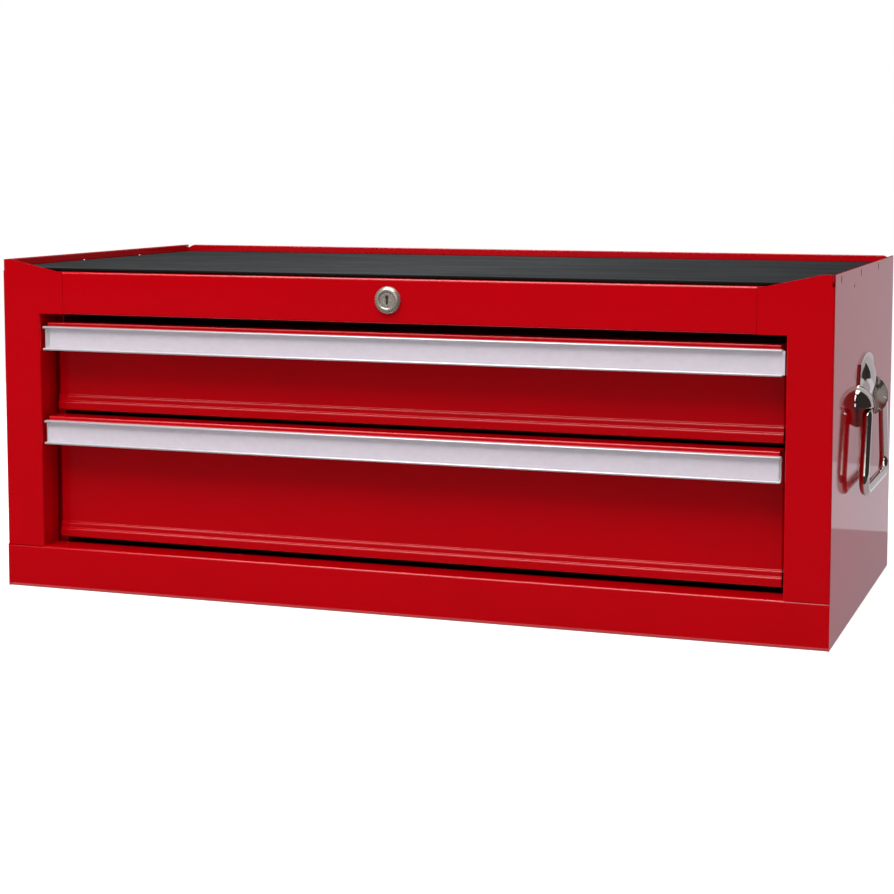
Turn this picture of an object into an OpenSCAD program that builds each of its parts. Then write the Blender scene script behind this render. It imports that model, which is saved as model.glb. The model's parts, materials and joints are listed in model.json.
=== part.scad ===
// Two-drawer add-on tool chest: a folded steel cabinet with a recessed tray on top, two drawers on
// ball-bearing slides, full-width aluminium pulls, a key lock that works a rear locking bar, and a
// drop handle on each side.
//
// Frame: +X to the chest's right-hand side seen from the front, +Y towards the back, +Z up.
// The origin is on the floor, at the middle of the cabinet's footprint.

/* [Cabinet] */
// Overall width of the cabinet
body_w = 660; // [600:5:760]
// Overall depth of the cabinet, front sheet to back sheet
body_d = 315; // [290:5:420]
// Thickness of the painted steel sheet
sheet = 0.8; // [0.6:0.1:1.2]
// Radius of a fold, measured at the middle of the sheet
fold_r = 1.2; // [0.8:0.1:1.6]
// Width of the post at each side of the drawer opening
post_w = 33; // [26:1:45]
// Height of the rail below the drawers
rail_h = 34; // [22:1:45]
// Height of the rail above the drawers, which holds the lock
header_h = 33.6; // [29:1:45]
// How far the edges of the drawer opening are folded inwards
return_d = 25; // [24:0.5:26]
// Width of the gusset that joins each post to the header
gusset_w = 54; // [50:1:80]
// Height of the lip round the tray
lip_h = 9; // [9:0.5:16]
// Width of the slope where the lip meets the front edge of the tray
slope_w = 41; // [20:1:41]
// Width of the flat end of the lip, outside the slope
lip_end_w = 8; // [6:1:9]
// Width of the flanges that join the sheets inside
seam_w = 14; // [10:1:14]

/* [Tray mat] */
// Thickness of the ribbed mat
mat_t = 3; // [2:0.5:3]
// Distance from one rib of the mat to the next
rib_pitch = 4; // [3:0.5:8]
// Depth of the grooves between the ribs
rib_depth = 0.6; // [0.3:0.1:1]
// Gap between the mat and the lips round it
mat_gap = 2.5; // [1:0.5:5]

/* [Drawer fronts] */
// Height of the upper drawer's front
upper_h = 70.8; // [62:1:130]
// Height of the lower drawer's front
lower_h = 99; // [62:1:160]
// Gap under the lower drawer's front
gap_low = 5.8; // [4:0.2:12]
// Gap between the two fronts
gap_mid = 4.3; // [3:0.5:8]
// Gap over the upper drawer's front
gap_top = 6.9; // [4:0.2:16]
// Gap at each side of a front
gap_side = 4; // [3.6:0.1:4.4]
// How far the face of a drawer front lies behind the cabinet's front
face_in = 21.5; // [20:0.5:22]
// How far the hem at the foot of a front stands out from its face
hem_out = 2.5; // [2:0.1:3]
// Height of that hem
hem_h = 7; // [5:0.5:9]
// Height from the hem to the top of the second step
step_h = 5; // [4:0.5:7]
// How far a front's top lip lies behind the cabinet's front
lip_in = 4.4; // [4:0.1:5]

/* [Pulls] */
// Height of the aluminium pull
pull_h = 19; // [16:0.1:22]
// How far the pull's top lies below the top of the drawer front
pull_drop = 3.2; // [1.4:0.1:4]
// How far the pull's lips stand out from the cabinet's front
pull_proud = 0.8; // [0.2:0.1:1.4]
// Wall thickness of the pull
pull_t = 1.2; // [1:0.1:1.4]
// Thickness of the label strip in the pull
strip_t = 0.7; // [0.5:0.1:0.8]
// Gap between the end of a pull and the drawer opening
pull_gap = 3; // [2:0.5:6]
// How much shorter the label strip is than its pull
strip_short = 2.6; // [2:1:20]
// Gap between the opening and the end of the upper strip, which has slid along its pull
strip_end_gap = 1.1; // [0.4:0.1:6]

/* [Drawer boxes] */
// How far the drawer box's top edge lies below the top of its front
pan_drop = 10; // [6:1:16]
// Height of the drawer box's floor above the foot of its front
pan_rise = 2.5; // [1.5:0.5:5]
// Space behind the drawer box, for the locking bar
rear_gap = 19.5; // [19:0.5:24]
// Width of the rolled edge on top of the drawer box's sides
roll_w = 7; // [5:1:10]
// Thickness of the foam liner
liner_t = 2; // [1:0.5:4]
// Height of the slides' middle above the foot of the drawer front
slide_rise = 25; // [22:1:28]

/* [Slides] */
// Thickness of a slide, cabinet side to drawer side
slide_t = 12.7; // [12.7:0.1:13]
// Thickness of the slide's steel
rail_t = 1; // [0.8:0.1:1.1]
// Diameter of the bearing balls
ball_d = 4; // [3.6:0.1:4.2]
// Height of a row of balls above or below the slide's middle
ball_row = 13.7; // [13:0.1:15]
// Number of balls in a row
ball_count = 8; // [4:1:8]
// Distance from one ball to the next
ball_pitch = 8; // [6:0.5:8]
// Length of slide that stays engaged when the drawer is open
slide_overlap = 70; // [68:1:90]
// Width of the uprights that carry the slides
upright_w = 25; // [20:1:30]

/* [Lock] */
// Depth of the lock's middle below the tray
lock_down = 16; // [14:0.1:16]
// Diameter of the lock's bezel
bezel_d = 20.6; // [18:0.2:24]
// How far the bezel stands out
bezel_out = 3.2; // [2:0.2:4]
// Diameter of the lock's barrel
barrel_d = 16; // [15:0.5:17]
// Length of the barrel behind the cabinet's front
barrel_l = 20; // [18:1:22]
// Diameter of the turning plug
plug_d = 11.6; // [10:0.2:12.4]
// Diameter of the spindle behind the plug
spindle_d = 6; // [5:0.5:6.5]
// Distance from the spindle's middle to the crank pin
crank_r = 9; // [8:0.5:10]
// Width of the locking bar
bar_w = 20; // [18:1:24]
// Thickness of the locking bar
bar_t = 2; // [1.5:0.5:2]

/* [Side handles] */
// Height of the handle's pivot above the floor
pivot_z = 154.5; // [130:0.5:170]
// Distance from the side of the cabinet to the pivot's middle
pivot_out = 8.3; // [8:0.1:9]
// Diameter of the bail's bar
bail_d = 7.5; // [6:0.5:7.5]
// Width of the bail at its pivots, middle to middle of the bar
bail_top_w = 89; // [80:1:110]
// Width of the bail at its grip, middle to middle of the bar
bail_grip_w = 113; // [92:1:124]
// Drop from the pivots to the middle of the grip
bail_drop = 57.5; // [50:0.5:80]
// Diameter of the tenon at each end of the bail
tenon_d = 5; // [4:0.5:5.5]
// Radius of the handle's ears
ear_r = 16; // [15:0.5:18]
// Thickness of the handle bracket's steel
bracket_t = 1.5; // [1.2:0.1:2]

/* [Fixing holes] */
// Distance between the floor's fixing holes, side to side
fix_x = 500; // [400:10:540]
// Distance between the floor's fixing holes, front to back
fix_y = 200; // [150:10:230]
// Diameter of the floor's fixing holes
fix_d = 7; // [5:0.5:9]

/* [Hidden] */
$fn = 48;

// Paint and metal colours
paint_red = [0.70, 0.02, 0.06];
mat_black = [0.13, 0.14, 0.14];
bright_metal = [0.80, 0.80, 0.82];
zinc = [0.62, 0.64, 0.66];
nylon = [0.90, 0.90, 0.86];
silver_label = [0.78, 0.75, 0.80];

// Heights, from the floor up
lower_z = rail_h + gap_low;
upper_z = lower_z + lower_h + gap_mid;
open_top = upper_z + upper_h + gap_top;
tray_h = open_top + header_h;
total_h = tray_h + lip_h;

// Main planes
half_w = body_w / 2;
front_y = -body_d / 2;
back_y = body_d / 2;
open_x = half_w - post_w;
gusset_x = half_w - gusset_w;
return_y = front_y + return_d;
in_x = half_w - sheet;
mid = sheet / 2;
return_lip = 12;

// How far a cut runs past what it cuts
over = 1;

// Seams: how far apart neighbouring sheets stand where they aren't joined
seam_gap = 0.2;
flange_gap = 1;
hem_t = 2 * sheet;
hem_foot = tray_h + mat_t + 2 * seam_gap;
hem_corner_w = 10;
hem_corner_h = 3;
corner_relief = 2;
seam_h = 15;
fold_steps = 4;

// Slides and what carries them
slide_fit = 0.7;
slide_front_gap = 2.5;
slide_rear_gap = 17.5;
mount_x = open_x - gap_side - slide_fit;
pan_x = mount_x - slide_t;
slide_y = return_y + slide_front_gap;
slide_end_y = back_y - slide_rear_gap;
slide_l = slide_end_y - slide_y;
travel = slide_l - slide_overlap;
stop_gap = 0.5;
race_gap = 0.05;
cage_t = 0.8;
cage_gap = 0.4;
cage_l = slide_overlap - rail_t - 2 * stop_gap;
cage_y = slide_y + travel / 2 + stop_gap;
cage_off = 0.7;
cage_edge = 0.6;
ball_u = 6.55;
stop_tab_out = 4;
stop_tab_h = 10;
drawer_tab_h = 8;
upright_front_gap = 4.5;
upright_rear_gap = 27.5;
upright_top_gap = 2;
upright_foot = 10;
front_upright_foot = upright_front_gap - seam_gap;
upright_front_y = return_y + upright_front_gap;
upright_rear_y = back_y - upright_rear_gap - upright_w;
pan_rivet_in = 20;
rivet_d = 3.8;
rivet_head_d = 6;
rivet_head_t = 1.2;
rivet_fit = 0.1;

// Drawer fronts and boxes
front_x = open_x - gap_side;
face_y = front_y + face_in;
pan_front_y = face_y + sheet;
pan_back_y = back_y - rear_gap;
pull_x = open_x - pull_gap;
pull_y = front_y - pull_proud;
pull_lip = 1.7;
undercut = 0.8;
slot_floor = 4;
front_foot = 6;
front_lip_h = 12;
front_flange = 5;
front_flange_drop = 3;
strip_gap = 0.1;
slot_gap = 0.2;
slot_y = front_y + lip_in - slot_gap;
slot_back_y = slot_y + sheet + 2 * slot_gap;
wall_y = slot_y - pull_t;
strip_y = wall_y - strip_gap - strip_t;
upper_strip_shift = pull_gap + strip_short / 2 - strip_end_gap;

// Lock works
lock_z = tray_h - lock_down;
plug_gap = 0.05;
spindle_gap = 0.05;
spindle_y = front_y + barrel_l + 2;
crank_angle = 45;
crank_pin_d = 4;
crank_hub_d = spindle_d + 6;
crank_arm_w = crank_pin_d + 3;
crank_t = 3;
crank_gap = 11.5;
bar_gap = 8.5;
crank_back_y = back_y - crank_gap;
bar_y = back_y - bar_gap;
slot_play = 0.4;
bar_x = -crank_r * (1 + cos(crank_angle)) / 2;
bar_travel = 2 * crank_r * sin(crank_angle);
bar_slot_h = crank_pin_d + 2 * slot_play;
bar_slot_w = crank_pin_d + crank_r * (1 - cos(crank_angle)) + 3 * slot_play;
bar_slot_z = lock_z - crank_r * sin(crank_angle);
bar_fit = 0.3;
bar_foot_rise = 6;
bar_top_wall = 3;
finger_w = 12;
finger_t = 2.5;
finger_clear = 3;
finger_short = 2.2;
finger_h = bar_travel - finger_short;
catch_rise = 32;
catch_short = 1.2;
catch_lip = bar_travel - catch_short;
catch_t = 1.2;
catch_w = 26;
catch_out = 8;
guide_h = 10;
guide_wall = 5;
guide_face = 1.2;
upper_guide_drop = 6;
lower_guide_drop = 12;
hanger_gap = 12;
hanger_foot = 14;
hanger_wall = 4;
hanger_t = 1.5;

// Side handles
handle_y = 0;
tenon_gap = 0.05;
hood_gap = 0.75;
hood_z = bail_d / 2 + hood_gap;
ear_in = 3;
elbow_in = 0.3;
bail_play = 0.4;
elbow_r = bail_d / 2 + elbow_in;
ear_q = bail_top_w / 2 - elbow_r - bail_play - bracket_t;
collar_d = tenon_d + 2.4;
collar_t = 1.2;
collar_gap = 0.3;
tenon_run = 1;
grip_r = 11;
bend_swell = 0.03;
bend_run = 0.2;
hood_t = 1.2;
hood_in = 0.5;
hood_lap = 0.4;
plate_in = 3;
crown_step = 4;
dome_q = 19;
dome_h = 8;
dome_z = 22;
handle_rivet_d = 5;
handle_rivet_head_d = 8.4;
crown_z = 41.5;
crown_r = 92;
crown_q = 31;
tongue_r = 12;
tongue_z = 15;
side_rivet_q = 24;
side_rivet_rise = 9;
handle_rivets = [[0, -tongue_z], [side_rivet_q, side_rivet_rise], [-side_rivet_q, side_rivet_rise]];

// ---- folded sheet -------------------------------------------------------------------------

function unit(v) = v / norm(v);
function left_of(d) = [-d.y, d.x];
function turned(v, a) = [v.x * cos(a) - v.y * sin(a), v.x * sin(a) + v.y * cos(a)];

// The arc that rounds the corner b between a and c: a list of [point, normal to the left]
function fold_corner(a, b, c, r) =
  let (
    d0 = unit(b - a),
    d1 = unit(c - b),
    side = sign(d0.x * d1.y - d0.y * d1.x),
    angle = acos(d0 * d1),
    centre = b - d0 * r * tan(angle / 2) + left_of(d0) * r * side
  )
  [for (k = [0 : fold_steps])
    let (n = turned(left_of(d0), side * angle * k / fold_steps)) [centre - n * r * side, n]];

function fold_line(p, r) = concat(
  [[p[0], left_of(unit(p[1] - p[0]))]],
  [for (i = [1 : len(p) - 2]) each fold_corner(p[i - 1], p[i], p[i + 1], r)],
  [[p[len(p) - 1], left_of(unit(p[len(p) - 1] - p[len(p) - 2]))]]
);

// Outline of a sheet of thickness t whose middle runs along the points p, with its folds rounded
function fold_outline(p, t, r) =
  let (line = fold_line(p, r))
  concat(
    [for (e = line) e[0] + e[1] * t / 2],
    [for (i = [len(line) - 1 : -1 : 0]) line[i][0] - line[i][1] * t / 2]
  );

module fold(p, t = sheet, r = fold_r) {
  polygon(fold_outline(p, t, r));
}

// ---- placing ------------------------------------------------------------------------------

// A flat shape drawn in (Y, Z), drawn out along X
module along_x(x0, x1) {
  translate([x0, 0, 0]) rotate([90, 0, 90]) linear_extrude(x1 - x0) children();
}

// A flat shape drawn in (X, Z), drawn out along Y
module along_y(y0, y1) {
  translate([0, y1, 0]) rotate([90, 0, 0]) linear_extrude(y1 - y0) children();
}

// A flat shape drawn in (X, Y), drawn out along Z
module along_z(z0, z1) {
  translate([0, 0, z0]) linear_extrude(z1 - z0) children();
}

module block(x, y, z) {
  translate([x[0], y[0], z[0]]) cube([x[1] - x[0], y[1] - y[0], z[1] - z[0]]);
}

module rod_x(d, x0, x1) {
  translate([x0, 0, 0]) rotate([0, 90, 0]) cylinder(d = d, h = x1 - x0);
}

module rod_y(d, y0, y1) {
  translate([0, y1, 0]) rotate([90, 0, 0]) cylinder(d = d, h = y1 - y0);
}

// What is drawn for the right-hand side, on the side asked for
module on_side(side) {
  if (side == "right") children();
  else mirror([1, 0, 0]) children();
}

// ---- cabinet ------------------------------------------------------------------------------

// A closed hem with a round top edge, drawn in the plane across it
module hem(foot, top) {
  square_h = top - sheet - foot;
  translate([0, foot]) square([hem_t, square_h]);
  translate([sheet, top - sheet]) circle(r = sheet);
}

lance_pitch = 96.7;
lance_first = 27;
lance_count = 3;
lance_w = 3;
lance_h = 5;
lance_drop = 2;
pin_hole_d = 3.2;
pin_hole_y = 92;
pin_hole_drop = 4;

module side_panel() {
  wall_x = half_w - mid;
  face_mid = front_y + mid;
  color(paint_red) difference() {
    union() {
      block([in_x, half_w], [front_y, back_y], [0, rail_h]);
      along_z(rail_h, open_top)
        fold([[wall_x, back_y], [wall_x, face_mid], [open_x + mid, face_mid],
              [open_x + mid, return_y - mid], [open_x + return_lip, return_y - mid]]);
      along_z(open_top, tray_h)
        fold([[wall_x, back_y], [wall_x, face_mid], [gusset_x, face_mid]]);
      block([in_x, half_w], [front_y + corner_relief, back_y], [tray_h, hem_foot]);
      along_y(front_y + corner_relief, back_y) translate([half_w - hem_t, 0]) hem(hem_foot, total_h);
      along_y(front_y, front_y + hem_t)
        polygon([[half_w - lip_end_w - slope_w, tray_h], [half_w - lip_end_w, total_h],
                 [half_w - corner_relief, total_h], [half_w - corner_relief, tray_h]]);
      block([in_x - seam_w, in_x], [return_y, back_y - 3 * sheet], [sheet, 2 * sheet]);
      block([in_x - seam_w, in_x], [back_y - 2 * sheet, back_y - sheet],
            [3 * sheet, tray_h - 3 * sheet]);
    }
    for (i = [0 : lance_count - 1])
      translate([0, front_y + lance_first + i * lance_pitch, 0])
        block([half_w - sheet, half_w + over], [0, lance_w],
              [total_h - lance_drop - lance_h, total_h - lance_drop]);
    translate([0, front_y + pin_hole_y, tray_h - pin_hole_drop])
      rod_x(pin_hole_d, in_x - over, half_w + over);
    for (r = handle_rivets)
      translate([0, handle_y + r.x, pivot_z + r.y])
        rod_x(handle_rivet_d + 2 * rivet_fit, in_x - over, half_w + over);
  }
}

module back_panel() {
  hem_x = half_w - hem_t;
  color(paint_red) {
    block([-in_x, in_x], [back_y - sheet, back_y], [0, hem_foot]);
    intersection() {
      along_x(-hem_x, hem_x) translate([back_y - hem_t, 0]) hem(hem_foot, total_h);
      along_y(back_y - 2 * hem_t, back_y + hem_t)
        polygon([[-hem_x, 0], [hem_x, 0], [hem_x, total_h - hem_corner_h],
                 [half_w - hem_corner_w, total_h + over], [hem_corner_w - half_w, total_h + over],
                 [-hem_x, total_h - hem_corner_h]]);
    }
  }
}

module bottom_panel() {
  flange_x = in_x - seam_w - flange_gap;
  rail_lip = 11;
  color(paint_red) difference() {
    union() {
      along_x(-in_x, in_x)
        fold([[back_y - sheet, mid], [front_y + mid, mid], [front_y + mid, rail_h - mid],
              [return_y - mid, rail_h - mid], [return_y - mid, rail_h - rail_lip]]);
      block([-flange_x, flange_x], [back_y - 2 * sheet, back_y - sheet], [mid, seam_h]);
    }
    for (x = [-1, 1], y = [-1, 1])
      translate([x * fix_x / 2, y * fix_y / 2, -over]) cylinder(d = fix_d, h = sheet + 2 * over);
  }
}

header_flange = 20;
header_lap = 12;
header_weld = 4;

module top_panel() {
  flange_x = in_x - seam_w - flange_gap;
  foot = tray_h - seam_h;
  color(paint_red) {
    block([-in_x, in_x], [front_y + header_flange, back_y - sheet], [tray_h - sheet, tray_h]);
    block([-in_x + hem_t, in_x - hem_t],
          [front_y + header_flange - header_lap, front_y + header_flange + header_weld],
          [tray_h - 2 * sheet, tray_h - sheet]);
    for (s = [-1, 1])
      block(s > 0 ? [in_x - sheet, in_x] : [-in_x, sheet - in_x],
            [return_y + flange_gap, back_y - 3 * sheet], [foot, tray_h - mid]);
    block([-flange_x, flange_x], [back_y - 2 * sheet, back_y - sheet], [foot, tray_h - mid]);
  }
}

module header_rail() {
  face_x = gusset_x - seam_gap;
  inner_lip = 8;
  color(paint_red) difference() {
    union() {
      along_x(-face_x, face_x)
        fold([[front_y + header_flange - seam_gap, tray_h - mid], [front_y + mid, tray_h - mid],
              [front_y + mid, open_top + mid], [return_y - mid, open_top + mid],
              [return_y - mid, open_top + inner_lip]]);
      for (s = [-1, 1]) mirror([s > 0 ? 0 : 1, 0, 0]) {
        block([face_x - header_weld, open_x - flange_gap], [front_y + sheet, front_y + 2 * sheet],
              [open_top + mid, tray_h - mid]);
        block([face_x - header_weld, open_x - seam_gap], [front_y + sheet, return_y - sheet],
              [open_top, open_top + sheet]);
        block([face_x - header_weld, in_x - hem_t], [front_y + hem_t, front_y + header_flange - seam_gap],
              [tray_h - sheet, tray_h]);
      }
    }
    translate([0, 0, lock_z]) rod_y(barrel_d + 2 * rivet_fit, front_y - over, front_y + 3 * sheet);
  }
}

module top_mat() {
  x = in_x - sheet - mat_gap;
  edge = 0.5;
  y0 = front_y + mat_gap + edge;
  y1 = back_y - 2 * sheet - mat_gap;
  count = floor((y1 - y0) / rib_pitch) - 1;
  first = y0 + ((y1 - y0) - (count - 1) * rib_pitch) / 2;
  groove_share = 0.3;
  groove = rib_pitch * groove_share;
  grooves = [for (i = [count - 1 : -1 : 0]) each
    [[first + i * rib_pitch + groove, tray_h + mat_t],
     [first + i * rib_pitch, tray_h + mat_t - rib_depth],
     [first + i * rib_pitch - groove, tray_h + mat_t]]];
  color(mat_black) along_x(-x, x)
    polygon(concat([[y0, tray_h], [y1, tray_h], [y1, tray_h + mat_t]], grooves,
                   [[y0, tray_h + mat_t]]));
}

// A channel that stands between the floor and the tray and carries the slides. Its front flange
// is front_foot wide.
module upright(y, front_foot) {
  foot_x = in_x - mid;
  color(paint_red) difference() {
    along_z(hem_t, tray_h - seam_h - upright_top_gap)
      fold([[foot_x, y - front_foot], [foot_x, y + mid], [mount_x + mid, y + mid],
            [mount_x + mid, y + upright_w - mid], [foot_x, y + upright_w - mid],
            [foot_x, y + upright_w + upright_foot]]);
    for (z = [lower_z, upper_z])
      translate([0, y + upright_w / 2, z + slide_rise])
        rod_x(rivet_d + rivet_fit, mount_x - over, mount_x + sheet + over);
  }
}

// ---- slides -------------------------------------------------------------------------------

// Slides are drawn in (u, v): u runs from the cabinet side towards the drawer, v is the height
// from the slide's middle.
race_half = ball_d / 2 + race_gap;
outer_flange_v = ball_row + race_half + rail_t / 2;
inner_flange_v = ball_row - race_half - rail_t / 2;
outer_lip_u = ball_u + race_half + rail_t / 2;
inner_lip_u = ball_u - race_half - rail_t / 2;
outer_lip_v = ball_row + cage_t / 2 + cage_gap;
inner_lip_v = ball_row - cage_t / 2 - cage_gap;
slide_fold_r = rail_t * 0.8;
rail_rivet_y = [upright_front_y + upright_w / 2, upright_rear_y + upright_w / 2];
pan_rivet_y = [slide_y + pan_rivet_in, (slide_y + slide_end_y) / 2, slide_end_y - pan_rivet_in];

function slide_xz(p, z) = [for (q = p) [mount_x - q.x, z + q.y]];

module cabinet_rail(z) {
  color(zinc) difference() {
    union() {
      along_y(slide_y, slide_end_y)
        fold(slide_xz([[outer_lip_u, outer_lip_v], [outer_lip_u, outer_flange_v],
                       [rail_t / 2, outer_flange_v], [rail_t / 2, -outer_flange_v],
                       [outer_lip_u, -outer_flange_v], [outer_lip_u, -outer_lip_v]], z),
             rail_t, slide_fold_r);
      block([mount_x - stop_tab_out, mount_x - rail_t / 2], [slide_y - rail_t, slide_y],
            [z - stop_tab_h / 2, z + stop_tab_h / 2]);
    }
    for (y = rail_rivet_y)
      translate([0, y, z]) rod_x(rivet_head_d + rivet_fit, mount_x - rail_t - over, mount_x + over);
  }
}

module drawer_rail(z) {
  web_u = slide_t - rail_t / 2;
  color(zinc) difference() {
    union() {
      along_y(slide_y, slide_end_y)
        fold(slide_xz([[inner_lip_u, inner_lip_v], [inner_lip_u, inner_flange_v],
                       [web_u, inner_flange_v], [web_u, -inner_flange_v],
                       [inner_lip_u, -inner_flange_v], [inner_lip_u, -inner_lip_v]], z),
             rail_t, slide_fold_r);
      block([pan_x + rail_t / 2, mount_x - rail_t - stop_gap],
            [slide_end_y - rail_t, slide_end_y], [z - drawer_tab_h / 2, z + drawer_tab_h / 2]);
    }
    for (y = pan_rivet_y)
      translate([0, y, z]) rod_x(rivet_d + rivet_fit, pan_x - over, pan_x + rail_t + over);
  }
}

ball_places = [for (i = [0 : ball_count - 1], v = [-1, 1])
  [mount_x - ball_u, cage_y + cage_l / 2 + (i - (ball_count - 1) / 2) * ball_pitch, v * ball_row]];

module ball_cage(z) {
  web_u = rail_t + cage_off;
  edge_u = outer_lip_u + rail_t / 2 + cage_edge;
  color(zinc) difference() {
    along_y(cage_y, cage_y + cage_l)
      fold(slide_xz([[edge_u, ball_row], [web_u, ball_row], [web_u, -ball_row],
                     [edge_u, -ball_row]], z), cage_t, slide_fold_r);
    for (p = ball_places)
      translate([p.x, p.y, z + p.z - cage_t]) cylinder(d = ball_d + 2 * race_gap, h = 2 * cage_t);
  }
}

module bearing_balls(z) {
  color(bright_metal) for (s = ["left", "right"], p = ball_places)
    on_side(s) translate([p.x, p.y, z + p.z]) sphere(d = ball_d);
}

// Flush rivets that hold the cabinet rails to the uprights
module cabinet_rail_rivets() {
  color(zinc) for (s = ["left", "right"], z = [lower_z, upper_z], y = rail_rivet_y)
    on_side(s) translate([0, y, z + slide_rise]) {
      rod_x(rivet_head_d, mount_x - rail_t + rivet_fit, mount_x);
      rod_x(rivet_d, mount_x - rail_t / 2, mount_x + sheet + rivet_head_t / 2);
      rod_x(rivet_head_d, mount_x + sheet, mount_x + sheet + rivet_head_t);
    }
}

// ---- drawers ------------------------------------------------------------------------------

// The folded front of a drawer whose foot is at z and whose height is h
module drawer_front(z, h) {
  top = z + h;
  y_face = face_y + mid;
  y_hem = y_face - hem_out;
  y_step = y_face - hem_out / 2;
  bend = hem_out / 2;
  color(paint_red) {
    along_x(-front_x, front_x)
      fold([[y_face + front_foot, z + mid], [y_hem, z + mid], [y_hem, z + hem_h], [y_step, z + hem_h + bend],
            [y_step, z + hem_h + step_h], [y_face, z + hem_h + step_h + bend], [y_face, top - mid],
            [front_y + lip_in + mid, top - mid],
            [front_y + lip_in + mid, top - pull_drop - front_lip_h]],
           sheet, fold_r / 2 + mid / 2);
    for (s = ["left", "right"]) on_side(s)
      block([front_x - sheet, front_x], [y_face, y_face + front_flange],
            [z + hem_h + step_h, top - front_flange_drop]);
  }
}

// The drawer box: floor and sides with rolled edges, folded from one sheet
module drawer_box(z, h) {
  floor_z = z + pan_rise;
  top = z + h - pan_drop;
  x = pan_x - mid;
  color(paint_red) difference() {
    along_y(pan_front_y, pan_back_y)
      fold([[roll_w - x, top - mid], [-x, top - mid], [-x, floor_z + mid], [x, floor_z + mid],
            [x, top - mid], [x - roll_w, top - mid]]);
    for (y = pan_rivet_y, s = ["left", "right"])
      on_side(s) translate([0, y, z + slide_rise])
        rod_x(rivet_d + rivet_fit, pan_x - 2 * sheet - over, pan_x + over);
  }
}

// A wall let in between the drawer box's sides, with its front at y. Its lower corners are cut
// away to clear the folds.
module drawer_wall(z, h, y) {
  foot = z + pan_rise + sheet;
  top = z + h - pan_drop - sheet;
  x = pan_x - sheet;
  color(paint_red) along_y(y, y + sheet)
    polygon([[-x, top], [-x, foot + fold_r], [fold_r - x, foot], [x - fold_r, foot],
             [x, foot + fold_r], [x, top]]);
}

module drawer_liner(z) {
  clear = 3;
  floor_z = z + pan_rise + sheet;
  color(mat_black)
    block([clear - pan_x, pan_x - clear], [pan_front_y + clear, pan_back_y - clear],
          [floor_z, floor_z + liner_t]);
}

module drawer_rivets(z) {
  color(zinc) for (s = ["left", "right"], y = pan_rivet_y)
    on_side(s) translate([0, y, z + slide_rise]) {
      rod_x(rivet_head_d, pan_x + rail_t, pan_x + rail_t + rivet_head_t);
      rod_x(rivet_d, pan_x - sheet - rivet_head_t / 2, pan_x + rail_t + rivet_head_t / 2);
      rod_x(rivet_head_d, pan_x - sheet - rivet_head_t, pan_x - sheet);
    }
}

// The hooked plate on the back of a drawer that the locking bar's finger rises behind
module drawer_catch(z) {
  top = z + catch_rise;
  y = pan_back_y + catch_t / 2;
  color(zinc) translate([bar_x, 0, 0])
    along_x(-catch_w / 2, catch_w / 2)
      fold([[y, top - catch_lip], [y, top - catch_t / 2], [y + catch_out, top - catch_t / 2],
            [y + catch_out, top - catch_lip]], catch_t, catch_t);
}

// Profile of the aluminium pull: two lips that frame the label strip, the wall behind it with a
// groove for each edge of the strip, and a channel at the back that clips over the front's lip
module pull_profile(foot) {
  top = foot + pull_h;
  groove = strip_y - strip_gap;
  back = slot_back_y + pull_t;
  slot_foot = foot + slot_floor;
  polygon([[pull_y, foot], [slot_back_y, foot], [back, foot + pull_t], [back, top - pull_t],
           [slot_back_y, top - pull_t], [slot_back_y, slot_foot], [slot_y, slot_foot],
           [slot_y, top], [pull_y, top], [pull_y, top - pull_lip], [groove, top - pull_lip],
           [groove, top - undercut], [wall_y, top - undercut], [wall_y, foot + undercut],
           [groove, foot + undercut], [groove, foot + pull_lip], [pull_y, foot + pull_lip]]);
}

module drawer_pull(z, h) {
  color(bright_metal) along_x(-pull_x, pull_x) pull_profile(z + h - pull_drop - pull_h);
}

// The strip that slides in the pull's grooves, moved along them by shift
module label_strip(z, h, shift) {
  foot = z + h - pull_drop - pull_h;
  edge = undercut + strip_gap;
  x = pull_x - strip_short / 2;
  color(silver_label) block([shift - x, shift + x], [strip_y, strip_y + strip_t],
                            [foot + edge, foot + pull_h - edge]);
}

// ---- lock ---------------------------------------------------------------------------------

// A shape drawn as (radius, distance behind the cabinet's front), turned about the lock's axis
module turned_about_lock() {
  translate([0, front_y, lock_z]) rotate([-90, 0, 0]) rotate_extrude() children();
}

module lock_housing() {
  bore_r = plug_d / 2 + plug_gap;
  rim_r = bezel_d / 2;
  bevel = bezel_out / 4;
  flat_in = 2.2;
  shoulder_in = 1;
  shoulder = bezel_out * 4 / 5;
  skirt = bezel_out / 3;
  color(bright_metal) turned_about_lock()
    polygon([[bore_r, barrel_l], [bore_r, bevel - bezel_out], [bore_r + bevel, -bezel_out],
             [rim_r - flat_in, -bezel_out], [rim_r - shoulder_in, -shoulder], [rim_r, -skirt],
             [rim_r, 0], [barrel_d / 2, 0], [barrel_d / 2, barrel_l]]);
}

module lock_nut() {
  nut_t = 3;
  nut_wall = 2;
  across = barrel_d + 2 * nut_wall;
  color(zinc) translate([0, front_y + sheet, lock_z]) rotate([-90, 0, 0]) difference() {
    cylinder(d = across / cos(30), h = nut_t, $fn = 6);
    translate([0, 0, -over]) cylinder(d = barrel_d + rivet_fit, h = nut_t + 2 * over);
  }
}

module lock_plug() {
  face = front_y - bezel_out * 0.7;
  key_l = 8;
  key_h = 7;
  key_w = 1.6;
  eye_d = 3;
  eye_drop = 1.4;
  color(zinc) difference() {
    translate([0, 0, lock_z]) rod_y(plug_d, face, spindle_y);
    block([-key_w / 2, key_w / 2], [face - over, face + key_l],
          [lock_z - key_h / 2, lock_z + key_h / 2]);
    translate([0, 0, lock_z + key_h / 2 - eye_drop]) rod_y(eye_d, face - over, face + key_l);
  }
}

module lock_spindle() {
  color(zinc) translate([0, 0, lock_z]) rod_y(spindle_d, spindle_y, crank_back_y - crank_t);
}

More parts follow.
